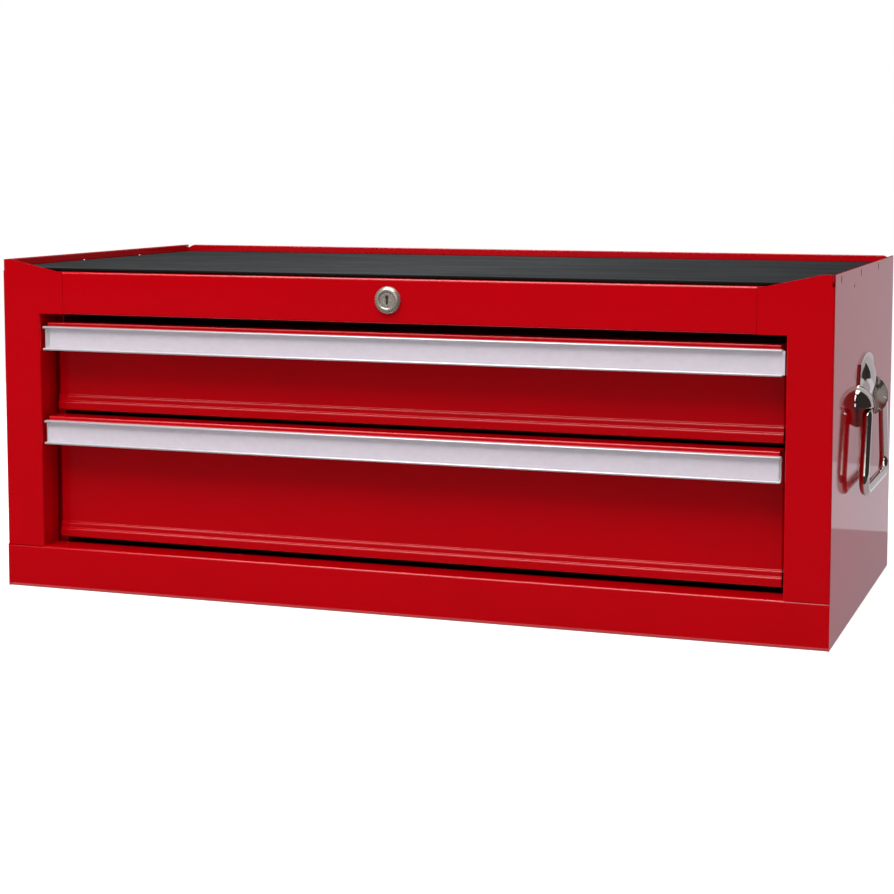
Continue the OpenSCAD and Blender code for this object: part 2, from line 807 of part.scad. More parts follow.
module lock_crank() {
  pin = [-crank_r * cos(crank_angle), -crank_r * sin(crank_angle)];
  pin_past = 1.5;
  color(zinc) translate([0, 0, lock_z]) {
    along_y(crank_back_y - crank_t, crank_back_y) {
      circle(d = crank_hub_d);
      translate(pin) circle(d = crank_arm_w);
      rotate(180 + crank_angle) translate([0, -crank_arm_w / 2]) square([crank_r, crank_arm_w]);
    }
    translate([pin.x, 0, pin.y]) rod_y(crank_pin_d, crank_back_y, bar_y + bar_t + pin_past);
  }
}

// The bracket under the tray that carries the spindle's far end
module spindle_hanger() {
  y = crank_back_y - crank_t - hanger_gap;
  r = spindle_d / 2 + hanger_wall;
  color(zinc) difference() {
    union() {
      along_y(y, y + hanger_t) {
        translate([0, lock_z]) circle(r = r);
        translate([-r, lock_z]) square([2 * r, tray_h - sheet - lock_z]);
      }
      block([-r, r], [y - hanger_foot, y + hanger_t], [tray_h - sheet - hanger_t, tray_h - sheet]);
    }
    translate([0, 0, lock_z]) rod_y(spindle_d + 2 * spindle_gap, y - over, y + hanger_t + over);
  }
}

function catch_top(z) = z + catch_rise;
finger_y = pan_back_y + catch_t + 2;

// The flat bar behind the drawers. Each finger rises behind its drawer's catch when the key turns.
module lock_bar() {
  foot = lower_z + bar_foot_rise;
  top = bar_slot_z + bar_slot_h / 2 + bar_top_wall;
  color(zinc) difference() {
    translate([bar_x, 0, 0]) {
      block([-bar_w / 2, bar_w / 2], [bar_y, bar_y + bar_t], [foot, top]);
      for (z = [lower_z, upper_z]) {
        tip = catch_top(z) - catch_lip - finger_clear;
        block([-finger_w / 2, finger_w / 2], [finger_y, bar_y + mid],
              [tip - finger_h - bar_t, tip - finger_h]);
        block([-finger_w / 2, finger_w / 2], [finger_y, finger_y + finger_t],
              [tip - finger_h - mid, tip]);
      }
    }
    translate([bar_x, 0, bar_slot_z])
      block([-bar_slot_w / 2, bar_slot_w / 2], [bar_y - over, bar_y + bar_t + over],
            [-bar_slot_h / 2, bar_slot_h / 2]);
  }
}

module bar_guide(z) {
  x = bar_w / 2 + bar_fit;
  color(nylon) translate([bar_x, 0, 0]) difference() {
    block([-x - guide_wall, x + guide_wall], [bar_y - bar_fit - guide_face, back_y - sheet],
          [z, z + guide_h]);
    block([-x, x], [bar_y - bar_fit, bar_y + bar_t + bar_fit], [z - over, z + guide_h + over]);
  }
}

// ---- side handles -------------------------------------------------------------------------

// Handles are drawn on the right-hand side, with the pivot's height at zero.
module at_handle() {
  translate([half_w, handle_y, pivot_z]) children();
}

// A flat shape drawn in (Y, Z) on the side of the cabinet, t thick
module on_panel(t) {
  rotate([90, 0, 90]) linear_extrude(t) children();
}

// What is drawn for the rear end of a handle, at both ends
module both_ends() {
  children();
  mirror([0, 1, 0]) children();
}

// The round ear that carries one tenon, and the hood over the bail's end
module handle_ear() {
  hood_r = ear_r - hood_in;
  hood_y = ear_q + bracket_t - hood_lap;
  difference() {
    union() {
      along_y(ear_q, ear_q + bracket_t) intersection() {
        translate([-ear_in, hood_z]) circle(r = ear_r);
        translate([0, hood_z - ear_r]) square([ear_r, 2 * ear_r]);
      }
      intersection() {
        translate([-ear_in, hood_y, hood_z]) rotate([-90, 0, 0]) rotate([0, 0, -90])
          rotate_extrude(angle = 90) intersection() {
            difference() {
              circle(r = hood_r);
              circle(r = hood_r - hood_t);
            }
            square(hood_r);
          }
        block([0, 2 * ear_r], [hood_y, hood_y + 2 * ear_r], [hood_z, hood_z + 2 * ear_r]);
      }
    }
    translate([pivot_out, 0, 0])
      rod_y(tenon_d + 2 * tenon_gap, ear_q - over, ear_q + bracket_t + over);
  }
}

// The pressed plate of a handle: a wide crown over the ears, a dome in it, and a small tongue below
module handle_bracket() {
  plate_q = ear_q + bracket_t;
  plate_h = ear_r - plate_in;
  crown_foot = hood_z + plate_h - crown_step;
  dome_r = (pow(dome_q, 2) + pow(dome_h, 2)) / (2 * dome_h);
  color(bright_metal) at_handle() difference() {
    union() {
      on_panel(bracket_t) {
        intersection() {
          translate([0, crown_z - crown_r]) circle(r = crown_r);
          polygon([[-plate_q, hood_z - plate_h], [plate_q, hood_z - plate_h], [plate_q, crown_foot],
                   [crown_q, crown_z], [-crown_q, crown_z], [-plate_q, crown_foot]]);
        }
        translate([0, -tongue_z]) circle(r = tongue_r);
        translate([-tongue_r, -tongue_z]) square([2 * tongue_r, tongue_z]);
      }
      translate([0, 0, dome_z]) rotate([0, 90, 0]) rotate_extrude() intersection() {
        translate([0, dome_h - dome_r]) circle(r = dome_r);
        translate([0, bracket_t / 2]) square([dome_r, dome_h]);
      }
      both_ends() handle_ear();
    }
    for (r = handle_rivets)
      translate([0, r.x, r.y]) rod_x(handle_rivet_d + 2 * rivet_fit, -over, bracket_t + over);
  }
}

module handle_rivets_of_side() {
  head_t = 1.6;
  color(bright_metal) at_handle() for (r = handle_rivets) translate([0, r.x, r.y]) {
    rod_x(handle_rivet_d, -sheet - head_t / 2, bracket_t + head_t / 2);
    rod_x(handle_rivet_head_d, bracket_t, bracket_t + head_t);
    rod_x(handle_rivet_head_d, -sheet - head_t, -sheet);
  }
}

// A bend of the bail's bar in the (Y, Z) plane. The bar swells a little where it is bent.
module bail_bend(centre, r, from, sweep) {
  translate([0, centre.x, centre.y]) rotate([90, 0, 90]) rotate([0, 0, from])
    rotate_extrude(angle = sweep) translate([r, 0]) circle(d = bail_d + bend_swell);
}

// The bail, from its rear tenon: an elbow down into the leg, the leg leaning out, the grip's bend
module bail() {
  start_y = bail_top_w / 2 - elbow_r;
  straight_z = bail_drop - elbow_r - grip_r;
  lean = atan2((bail_grip_w - bail_top_w) / 2, straight_z);
  leg_l = (straight_z - (grip_r - elbow_r) * sin(lean)) / cos(lean);
  leg_top = [start_y + elbow_r * cos(lean), -elbow_r + elbow_r * sin(lean)];
  leg_foot = leg_top + [sin(lean), -cos(lean)] * leg_l;
  grip_centre = leg_foot - [cos(lean), sin(lean)] * grip_r;
  grip_end = grip_centre.x + bend_run;
  color(bright_metal) at_handle() translate([pivot_out, 0, 0]) {
    both_ends() {
      rod_y(tenon_d, ear_q - tenon_run, start_y + bend_run);
      rod_y(collar_d, ear_q - collar_gap - collar_t, ear_q - collar_gap);
      bail_bend([start_y, -elbow_r], elbow_r, lean, 90 - lean);
      translate([0, leg_top.x, leg_top.y]) rotate([180 + lean, 0, 0])
        translate([0, 0, -bend_run]) cylinder(d = bail_d, h = leg_l + 2 * bend_run);
      bail_bend(grip_centre, grip_r, -90, 90 + lean);
    }
    translate([0, 0, -bail_drop]) rod_y(bail_d, -grip_end, grip_end);
  }
}

// ---- nodes --------------------------------------------------------------------------------

on_side("left") side_panel();  // left_side_panel
on_side("right") side_panel();  // right_side_panel
back_panel();
bottom_panel();
top_panel();
header_rail();
top_mat();

on_side("left") upright(upright_front_y, front_upright_foot);  // left_front_upright
on_side("left") upright(upright_rear_y, upright_foot);  // left_rear_upright
on_side("right") upright(upright_front_y, front_upright_foot);  // right_front_upright
on_side("right") upright(upright_rear_y, upright_foot);  // right_rear_upright

on_side("left") cabinet_rail(upper_z + slide_rise);  // upper_left_cabinet_rail
on_side("right") cabinet_rail(upper_z + slide_rise);  // upper_right_cabinet_rail
on_side("left") cabinet_rail(lower_z + slide_rise);  // lower_left_cabinet_rail
on_side("right") cabinet_rail(lower_z + slide_rise);  // lower_right_cabinet_rail
cabinet_rail_rivets();

on_side("left") handle_bracket();  // left_handle_bracket
on_side("right") handle_bracket();  // right_handle_bracket
on_side("left") handle_rivets_of_side();  // left_handle_rivets
on_side("right") handle_rivets_of_side();  // right_handle_rivets
on_side("left") bail();  // left_bail
on_side("right") bail();  // right_bail

lock_housing();
lock_nut();
lock_plug();
lock_spindle();
lock_crank();
spindle_hanger();
lock_bar();
bar_guide(upper_z + upper_h - upper_guide_drop);  // upper_bar_guide
bar_guide(upper_z - lower_guide_drop);  // lower_bar_guide

drawer_front(upper_z, upper_h);  // upper_drawer_front
drawer_front(lower_z, lower_h);  // lower_drawer_front
drawer_box(upper_z, upper_h);  // upper_drawer_box
drawer_box(lower_z, lower_h);  // lower_drawer_box
drawer_wall(upper_z, upper_h, pan_front_y);  // upper_drawer_inner_wall
drawer_wall(lower_z, lower_h, pan_front_y);  // lower_drawer_inner_wall
drawer_wall(upper_z, upper_h, pan_back_y - sheet);  // upper_drawer_back_wall
drawer_wall(lower_z, lower_h, pan_back_y - sheet);  // lower_drawer_back_wall
drawer_pull(upper_z, upper_h);  // upper_drawer_pull
drawer_pull(lower_z, lower_h);  // lower_drawer_pull
label_strip(upper_z, upper_h, upper_strip_shift);  // upper_label_strip
label_strip(lower_z, lower_h, 0);  // lower_label_strip
drawer_liner(upper_z);  // upper_drawer_liner
drawer_liner(lower_z);  // lower_drawer_liner
on_side("left") drawer_rail(upper_z + slide_rise);  // upper_left_drawer_rail
on_side("right") drawer_rail(upper_z + slide_rise);  // upper_right_drawer_rail
on_side("left") drawer_rail(lower_z + slide_rise);  // lower_left_drawer_rail
on_side("right") drawer_rail(lower_z + slide_rise);  // lower_right_drawer_rail
drawer_rivets(upper_z);  // upper_drawer_rivets
drawer_rivets(lower_z);  // lower_drawer_rivets
drawer_catch(upper_z);  // upper_drawer_catch
drawer_catch(lower_z);  // lower_drawer_catch

on_side("left") ball_cage(upper_z + slide_rise);  // upper_left_ball_cage
on_side("right") ball_cage(upper_z + slide_rise);  // upper_right_ball_cage
on_side("left") ball_cage(lower_z + slide_rise);  // lower_left_ball_cage
on_side("right") ball_cage(lower_z + slide_rise);  // lower_right_ball_cage
bearing_balls(upper_z + slide_rise);  // upper_bearing_balls
bearing_balls(lower_z + slide_rise);  // lower_bearing_balls
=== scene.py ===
"""The finish of a two-drawer steel add-on tool chest: folded and painted sheet, a ribbed mat in the
tray, aluminium pulls, a key lock and a drop handle on each side."""

import json
import math

import bmesh
import bpy
from bpy.props import FloatProperty, FloatVectorProperty, IntProperty, PointerProperty
from bpy.types import Operator, Panel, PropertyGroup
from mathutils import Matrix, Vector


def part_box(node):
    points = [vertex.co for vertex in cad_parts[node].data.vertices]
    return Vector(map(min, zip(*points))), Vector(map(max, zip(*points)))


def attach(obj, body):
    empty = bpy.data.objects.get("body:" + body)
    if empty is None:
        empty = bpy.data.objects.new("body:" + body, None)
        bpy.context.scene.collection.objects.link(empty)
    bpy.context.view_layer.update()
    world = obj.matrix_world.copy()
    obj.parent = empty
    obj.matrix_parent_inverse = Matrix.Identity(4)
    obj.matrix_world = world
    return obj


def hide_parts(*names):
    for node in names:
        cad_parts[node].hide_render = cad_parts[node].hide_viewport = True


bl_info = {
    "name": "Two-drawer tool chest",
    "version": (1, 0, 0),
    "blender": (4, 5, 0),
    "location": "3D View > Sidebar > Tool Chest",
    "description": "Dresses the parts of a two-drawer add-on tool chest",
    "category": "Add Mesh",
}

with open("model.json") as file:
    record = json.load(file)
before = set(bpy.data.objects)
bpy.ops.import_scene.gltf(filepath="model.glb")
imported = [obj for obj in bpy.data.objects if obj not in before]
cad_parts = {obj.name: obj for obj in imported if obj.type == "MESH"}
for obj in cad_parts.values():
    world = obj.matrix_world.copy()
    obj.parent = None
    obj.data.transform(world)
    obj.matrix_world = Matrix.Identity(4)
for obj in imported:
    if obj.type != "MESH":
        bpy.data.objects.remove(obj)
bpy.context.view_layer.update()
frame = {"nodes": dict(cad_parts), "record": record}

MM = 0.001
MERGE = 0.002 * MM              # vertices nearer than this are one
LONG_EDGE = 100 * MM            # longer than this are only the edges that run the chest's width
FLAT = math.radians(0.4)        # faces that turn by less than this are one flat
SHARP = math.radians(35)        # edges that turn by more than this are rounded
SHEET_SHARP = math.radians(40)  # the same for a bent sheet, where each step of a fold turns by less
SQUARE = math.radians(60)       # the same for the corners of an extrusion
LATHE_STEPS, RIVET_STEPS, BAR_STEPS = 64, 40, 32    # facets round a turned or drawn piece
GRIP_STEPS, ELBOW_STEPS = 14, 12                    # facets along the bends of a bail
SIDES = {"left": -1, "right": 1}
DRAWERS = ("upper", "lower")
X, Y, Z = Vector((1, 0, 0)), Vector((0, 1, 0)), Vector((0, 0, 1))


def from_hex(code):
    """Turns an sRGB colour such as "B4000C" to the linear colour the shaders work in."""
    parts = [int(code[i:i + 2], 16) / 255 for i in (0, 2, 4)]
    linear = [p / 12.92 if p <= 0.04045 else ((p + 0.055) / 1.055) ** 2.4 for p in parts]
    return (*linear, 1.0)


WHITE, BLACK = from_hex("FFFFFF"), from_hex("000000")


# ---- what a user may change ----------------------------------------------------------------

def length(name, default_mm, about, low=0.01, high=1000):
    """A size, given in millimetres."""
    return FloatProperty(name=name, description=about, default=default_mm * MM, min=low * MM,
                         max=high * MM, unit="LENGTH", precision=4)


def colour(name, code, about):
    """A colour, given as sRGB."""
    return FloatVectorProperty(name=name, description=about, default=from_hex(code), size=4,
                               min=0, max=1, subtype="COLOR")


class SheetSizes(PropertyGroup):
    thickness: length("Thickness", 0.8, "Thickness of the painted steel sheet")
    front_fold: length("Front fold radius", 1.0, "Radius of the folds of a drawer front")
    cut_edge: length("Cut edge", 0.16, "How much paint rounds the cut edges of the sheet")
    fold_steps: IntProperty(name="Fold steps", description="Facets that make up a fold",
                            default=8, min=2, max=16)


class FrontSizes(PropertyGroup):
    foot: length("Foot", 6, "Depth of the flange at the foot of a drawer front")
    hem_out: length("Hem", 2.5, "How far the hem at the foot stands out from the face")
    hem_height: length("Hem height", 6.3, "Height of that hem")
    step_height: length("Step height", 4.7, "Height from the hem to the top of the second step")
    foot_drop: length("Foot drop", 0.9, "How far the rolled foot hangs into the gap below a drawer")
    lip_height: length("Lip height", 15.2, "How far the lip reaches down behind the pull")
    flange: length("Side flange", 5, "Width of the flange at each side of a front")
    flange_drop: length("Flange drop", 3, "How far the side flange ends below the front's top")


class PullSizes(PropertyGroup):
    wall: length("Wall", 1.2, "Wall thickness of the aluminium pull")
    lip: length("Lip", 1.7, "Height of the lips that frame the label strip")
    undercut: length("Undercut", 0.8, "How far the strip reaches behind each lip")
    slot_floor: length("Slot floor", 4, "Height of the pull's foot under the drawer front's lip")
    slot: length("Slot", 1.2, "Width of the slot that clips over the drawer front's lip")
    strip_gap: length("Strip gap", 0.1, "Play of the label strip in its groove")
    strip_edge: length("Strip edge", 0.2, "Rounding of the label strip's edges")
    corner: length("Corner", 0.22, "Radius of the extrusion's corners")
    lip_corner: length("Lip corner", 0.7, "Radius of the front edges of the pull's lips")


class MatSizes(PropertyGroup):
    rib_pitch: length("Rib pitch", 4, "Distance from one rib of the mat to the next")
    groove_half: length("Groove", 1.2, "Half the width of the groove between two ribs")
    groove_depth: length("Groove depth", 0.6, "Depth of the groove between two ribs")
    rib_edge: length("Rib edge", 0.3, "Rounding of the ribs' edges")
    liner_edge: length("Liner edge", 0.5, "Rounding of the edges of the drawers' liners")


class LockSizes(PropertyGroup):
    plug: length("Plug", 11.6, "Diameter of the turning plug")
    bezel: length("Bezel", 20.6, "Diameter of the bezel")
    bezel_out: length("Bezel height", 3.2, "How far the bezel stands out")
    barrel: length("Barrel", 16, "Diameter of the threaded barrel")
    plug_play: length("Plug play", 0.05, "Gap all round between the plug and its bore")
    thread_pitch: length("Thread pitch", 1, "Pitch of the barrel's thread")
    thread_depth: length("Thread depth", 0.5, "Depth of the barrel's thread")
    plug_edge: length("Plug edge", 0.12, "Rounding of the plug's edges")


class HandleSizes(PropertyGroup):
    bar: length("Bar", 7.5, "Diameter of the bail's bar")
    tenon: length("Tenon", 5, "Diameter of the tenon at each end of the bail")
    collar: length("Collar", 7.4, "Diameter of the collar that keeps the tenon in its ear")
    top_width: length("Top width", 89, "Width of the bail at its pivots, middle to middle")
    grip_width: length("Grip width", 113, "Width of the bail at its grip, middle to middle")
    drop: length("Drop", 57.5, "Drop from the pivots to the middle of the grip")
    elbow: length("Elbow radius", 4.05, "Radius of the bend from the tenon into the leg")
    grip_bend: length("Grip radius", 11, "Radius of the bend from the leg into the grip")
    collar_width: length("Collar width", 1.2, "Width of that collar")
    collar_gap: length("Collar gap", 0.3, "Play between the collar and its ear")
    ear: length("Ear", 38.55, "Distance of an ear's inner face from the handle's middle")
    rivet_head: length("Rivet head", 8.4, "Diameter of the rivets' heads")
    rivet_rise: length("Rivet height", 1.6, "Height of the rivets' heads")
    rivet_shank: length("Rivet shank", 5, "Diameter of the rivets' shanks")
    bracket_edge: length("Bracket edge", 0.3, "Rounding of the bracket's edges")
    collar_edge: length("Collar edge", 0.2, "Rounding of the edges where the tenon steps")


class FinishColours(PropertyGroup):
    paint: colour("Paint", "BA000C", "Red powder coat")
    paint_deep: colour("Deep paint", "B0000A", "Red powder coat where it has flowed thicker")
    mat: colour("Mat", "1D1F20", "Ribbed mat")
    # Painted highlight: the mat's colour on the crowns of its ribs, lighter where light falls on
    # them, in random rubbed streaks
    mat_lit_and_worn: colour("Lit and worn mat", "4A4D4E", "Ribbed mat on top of its ribs")
    foam: colour("Foam", "1F2022", "Drawer liner")
    aluminium: colour("Aluminium", "E8E5EA", "Anodised pull")
    strip: colour("Strip", "D4CBD5", "Label strip")
    zinc: colour("Zinc", "B4B8BC", "Zinc plate")
    zinc_dull: colour("Dull zinc", "9EA3A6", "Zinc plate between its spangles")
    ball: colour("Ball", "D0D2D4", "Bearing steel")
    chrome: colour("Chrome", "DEDAD4", "Chrome plate")
    nickel: colour("Nickel", "CFC4B8", "Nickel plate on the lock")
    nylon: colour("Nylon", "E2E0D4", "Natural nylon")


class StudioSettings(PropertyGroup):
    floor: colour("Floor", "B8B8B8", "Colour of the floor")
    floor_lift: FloatProperty(name="Floor lift", default=0.8, min=0, max=1,
                              description="Light that brings the floor up to white in view")
    floor_radius: length("Floor radius", 1600, "Radius of the floor", high=20000)
    key: FloatProperty(name="Key lamp", description="Power of the lamp over the front", default=88,
                       min=0, unit="POWER")
    top: FloatProperty(name="Top lamp", description="Power of the lamp overhead", default=20,
                       min=0, unit="POWER")
    ambient: FloatProperty(name="Ambient", description="Level of the light from all round",
                           default=0.42, min=0, max=2)


class ChestSettings(PropertyGroup):
    sheet: PointerProperty(type=SheetSizes)
    front: PointerProperty(type=FrontSizes)
    pull: PointerProperty(type=PullSizes)
    mat: PointerProperty(type=MatSizes)
    lock: PointerProperty(type=LockSizes)
    handle: PointerProperty(type=HandleSizes)
    colours: PointerProperty(type=FinishColours)
    studio: PointerProperty(type=StudioSettings)


def settings():
    return bpy.context.scene.tool_chest


# ---- materials -----------------------------------------------------------------------------

def add(material, kind, inputs=None, **properties):
    """Adds a node, sets its properties and inputs, and links each input that is given a socket."""
    node = material.node_tree.nodes.new("ShaderNode" + kind)
    for name, value in properties.items():
        setattr(node, name, value)
    for name, value in (inputs or {}).items():
        if isinstance(value, bpy.types.NodeSocket):
            material.node_tree.links.new(value, node.inputs[name])
        else:
            node.inputs[name].default_value = value
    return node


def blank_material(name):
    material = bpy.data.materials.new(name)
    material.use_nodes = True
    material.node_tree.nodes.clear()
    return material


def surface(material, shader):
    add(material, "OutputMaterial", {"Surface": shader.outputs[0]})


def per_metre(mm):
    """The scale that gives a texture one cycle in that many millimetres."""
    return 1 / (mm * MM)


def place_of(material, scale=(1, 1, 1), location=(0, 0, 0)):
    """The object's own coordinates, stretched and moved."""
    where = add(material, "TexCoord")
    return add(material, "Mapping", {"Vector": where.outputs["Object"], "Scale": scale,
                                     "Location": location}).outputs["Vector"]


def noise(material, where, cycle, detail):
    """Noise from 0 to 1, with one cycle in that many millimetres."""
    return add(material, "TexNoise", {"Vector": where, "Scale": per_metre(cycle),
                                      "Detail": detail}).outputs["Fac"]


def spread(material, value, low, high, start=0.0, end=1.0):
    """Takes a value that runs from start to end to one from low to high."""
    return add(material, "MapRange", {"Value": value, "From Min": start, "From Max": end,
                                      "To Min": low, "To Max": high}).outputs["Result"]


def blend(material, factor, first, second):
    """Goes from the first colour to the second as the factor goes from 0 to 1."""
    factor_in, first_in, second_in, colour_out = 0, 6, 7, 2
    return add(material, "Mix", {factor_in: factor, first_in: first, second_in: second},
               data_type="RGBA").outputs[colour_out]


def relief(material, height, strength, depth):
    """A surface that the height raises by up to that many millimetres."""
    return add(material, "Bump", {"Height": height, "Strength": strength,
                                  "Distance": depth * MM}).outputs["Normal"]


def times(factor, tone):
    """A colour made that many times as bright."""
    return tuple(factor * v for v in tuple(tone)[:3]) + (1.0,)


def powder_coated_steel():
    """Polyester powder coat, sprayed and baked on steel: a deep glossy red that mirrors what is
    seen along it, with a faint orange peel and a little more depth where it has flowed thick."""
    c = settings().colours
    m = blank_material("powder_coated_steel")
    where = place_of(m)
    flow = noise(m, where, cycle=60, detail=3)
    peel = noise(m, where, cycle=2.2, detail=1)
    shade = blend(m, flow, c.paint, c.paint_deep)
    gloss = spread(m, flow, low=0.05, high=0.09)
    bump = relief(m, peel, strength=0.04, depth=0.02)
    surface(m, add(m, "BsdfPrincipled", {
        "Base Color": shade, "Roughness": gloss, "IOR": 1.5, "Normal": bump}))
    return m


def calendered_pvc_mat():
    """PVC matting, calendered with ribs: near black and matt, with a dry leathery grain. The ribs'
    crowns are painted lighter in random streaks: painted highlight where light falls on them, and
    painted shade down in the grooves."""
    c = settings().colours
    m = blank_material("calendered_pvc_mat")
    where = place_of(m)
    grain = noise(m, where, cycle=1.1, detail=4)
    scuff = noise(m, place_of(m, (0.12, 1, 1)), cycle=9, detail=6)
    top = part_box("top_mat")[1].z
    depth = settings().mat.groove_depth
    height = add(m, "SeparateXYZ", {"Vector": where})
    # Painted highlight and shade: lighter towards the crowns of the ribs and darker down in the
    # grooves, in random rubbed streaks
    crown = spread(m, height.outputs["Z"], low=0, high=0.75, start=top - depth, end=top)
    rubbed = spread(m, scuff, low=0.2, high=0.8, start=0.3, end=0.7)
    painted_light_and_wear = add(m, "Math", {0: crown, 1: rubbed}, operation="MULTIPLY")
    shade = blend(m, painted_light_and_wear.outputs[0], c.mat, c.mat_lit_and_worn)
    bump = relief(m, grain, strength=0.35, depth=0.12)
    surface(m, add(m, "BsdfPrincipled", {
        "Base Color": shade, "Roughness": 0.72, "IOR": 1.53, "Specular IOR Level": 0.12,
        "Normal": bump}))
    return m


def eva_foam():
    """Closed-cell EVA foam, split from a block: soft black with small open cells, and no gloss."""
    c = settings().colours
    m = blank_material("eva_foam")
    where = place_of(m)
    cells = add(m, "TexVoronoi", {"Vector": where, "Scale": per_metre(0.8)})
    tone = noise(m, where, cycle=40, detail=4)
    shade = blend(m, tone, c.foam, times(1.6, c.foam))
    bump = relief(m, cells.outputs["Distance"], strength=0.5, depth=0.2)
    surface(m, add(m, "BsdfPrincipled", {
        "Base Color": shade, "Roughness": 0.9, "IOR": 1.45, "Specular IOR Level": 0.3,
        "Normal": bump}))
    return m


def anodised_aluminium():
    """Extruded aluminium, etched and clear anodised: satin silver, with fine lines from the die
    that run the length of the pull. They are drawn at 0.5 mm, coarse enough to show."""
    c = settings().colours
    m = blank_material("anodised_aluminium")
    lines = noise(m, place_of(m, (0.004, 1, 1)), cycle=0.5, detail=3)
    cloud = noise(m, place_of(m), cycle=25, detail=2)
    shade = blend(m, lines, c.aluminium, times(0.9, c.aluminium))
    gloss = spread(m, cloud, low=0.34, high=0.44)
    bump = relief(m, lines, strength=0.12, depth=0.05)
    surface(m, add(m, "BsdfPrincipled", {
        "Base Color": shade, "Metallic": 0.6, "Roughness": gloss, "Normal": bump}))
    return m


def silver_pvc_strip():
    """Rigid PVC strip, extruded with silver flake: a pale grey with a lavender tinge, satin, and
    faintly mottled where the flake has settled."""
    c = settings().colours
    m = blank_material("silver_pvc_strip")
    mottle = noise(m, place_of(m, (0.6, 1, 1)), cycle=3.5, detail=4)
    flake = noise(m, place_of(m), cycle=0.7, detail=1)
    shade = blend(m, mottle, c.strip, times(0.86, c.strip))
    bump = relief(m, flake, strength=0.15, depth=0.03)
    surface(m, add(m, "BsdfPrincipled", {
        "Base Color": shade, "Roughness": 0.42, "IOR": 1.53, "Normal": bump}))
    return m


def zinc_plated_steel():
    """Cold-rolled steel, zinc plated and clear passivated: pale grey with a soft spangle and light
    scuffs along its length."""
    c = settings().colours
    m = blank_material("zinc_plated_steel")
    where = place_of(m)
    spangle = add(m, "TexVoronoi", {"Vector": where, "Scale": per_metre(3.0)})
    scuff = noise(m, place_of(m, (1, 0.05, 1)), cycle=0.8, detail=3)
    patch = add(m, "SeparateColor", {"Color": spangle.outputs["Color"]})
    shade = blend(m, patch.outputs[0], c.zinc, c.zinc_dull)
    gloss = spread(m, scuff, low=0.24, high=0.4)
    bump = relief(m, scuff, strength=0.1, depth=0.03)
    surface(m, add(m, "BsdfPrincipled", {
        "Base Color": shade, "Metallic": 1.0, "Roughness": gloss, "Normal": bump}))
    return m


def ground_bearing_steel():
    """Through-hardened bearing steel, ground and lapped: a clean mirror under a film of grease."""
    c = settings().colours
    m = blank_material("ground_bearing_steel")
    film = noise(m, place_of(m), cycle=2, detail=2)
    gloss = spread(m, film, low=0.05, high=0.16)
    surface(m, add(m, "BsdfPrincipled", {
        "Base Color": c.ball, "Metallic": 1.0, "Roughness": gloss}))
    return m


def chrome_plated_steel():
    """Steel wire and pressings, polished and chrome plated: a bright, slightly warm mirror with
    faint ripples from the polishing and a haze of fine marks."""
    c = settings().colours
    m = blank_material("chrome_plated_steel")
    where = place_of(m)
    ripple = noise(m, where, cycle=9, detail=1)
    haze = noise(m, where, cycle=1.5, detail=4)
    gloss = spread(m, haze, low=0.05, high=0.13)
    bump = relief(m, ripple, strength=0.2, depth=0.1)
    surface(m, add(m, "BsdfPrincipled", {
        "Base Color": c.chrome, "Metallic": 1.0, "Roughness": gloss, "Normal": bump}))
    return m


def lock_axis():
    low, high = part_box("lock_housing")
    return Vector((0, 0, (low.z + high.z) / 2))


def nickel_plated_zinc():
    """Die-cast zinc, faced in a lathe and nickel plated: warm grey with fine turned rings round
    the lock's axis. They are drawn 2.8 mm apart, coarse enough to show."""
    c = settings().colours
    m = blank_material("nickel_plated_zinc")
    axis = lock_axis()
    centred = place_of(m, location=(0, 0, -axis.z))
    # A wave texture turns by 20 radians, which is 3.2 rings, where the others have one cycle
    rings = add(m, "TexWave", {"Vector": centred, "Scale": per_metre(9), "Distortion": 0.0},
                wave_type="RINGS", rings_direction="Y")
    haze = noise(m, centred, cycle=2, detail=3)
    shade = blend(m, rings.outputs["Fac"], c.nickel, times(0.8, c.nickel))
    gloss = spread(m, haze, low=0.2, high=0.34)
    bump = relief(m, rings.outputs["Fac"], strength=0.25, depth=0.08)
    surface(m, add(m, "BsdfPrincipled", {
        "Base Color": shade, "Metallic": 0.75, "Roughness": gloss, "Normal": bump}))
    return m


def moulded_nylon():
    """Natural polyamide, injection moulded: a milky off-white that lets a little light in, with
    the fine spark-eroded grain of its mould."""
    c = settings().colours
    m = blank_material("moulded_nylon")
    grain = noise(m, place_of(m), cycle=0.6, detail=3)
    gloss = spread(m, grain, low=0.35, high=0.5)
    bump = relief(m, grain, strength=0.15, depth=0.05)
    surface(m, add(m, "BsdfPrincipled", {
        "Base Color": c.nylon, "Roughness": gloss, "IOR": 1.53, "Subsurface Weight": 0.15,
        "Subsurface Radius": (0.002, 0.0018, 0.0014), "Subsurface Scale": 1.0, "Normal": bump}))
    return m


FINISHES = {
    "red_paint": powder_coated_steel,
    "tray_mat": calendered_pvc_mat,
    "drawer_liner": eva_foam,
    "pull_aluminium": anodised_aluminium,
    "label_strip": silver_pvc_strip,
    "zinc_steel": zinc_plated_steel,
    "bearing_steel": ground_bearing_steel,
    "bright_chrome": chrome_plated_steel,
    "lock_nickel": nickel_plated_zinc,
    "guide_nylon": moulded_nylon,
}
made = {}


def finish_for(slot):
    """The finish of that name, made when it is first asked for."""
    if slot not in made:
        made[slot] = FINISHES[slot]()
    return made[slot]


def slot_of(node):
    """The material slot that the record gives a node."""
    return next(part["material_slot"] for part in frame["record"]["subparts"]
                if part["node"] == node)


def dress(node):
    """Gives a node that keeps its own shape its material."""
    slots = frame["nodes"][node].data.materials
    slots.clear()
    slots.append(finish_for(slot_of(node)))


# ---- shaping -------------------------------------------------------------------------------

def new_verts(result):
    return [g for g in result["geom"] if isinstance(g, bmesh.types.BMVert)]


def new_edges(result):
    return [g for g in result["geom"] if isinstance(g, bmesh.types.BMEdge)]


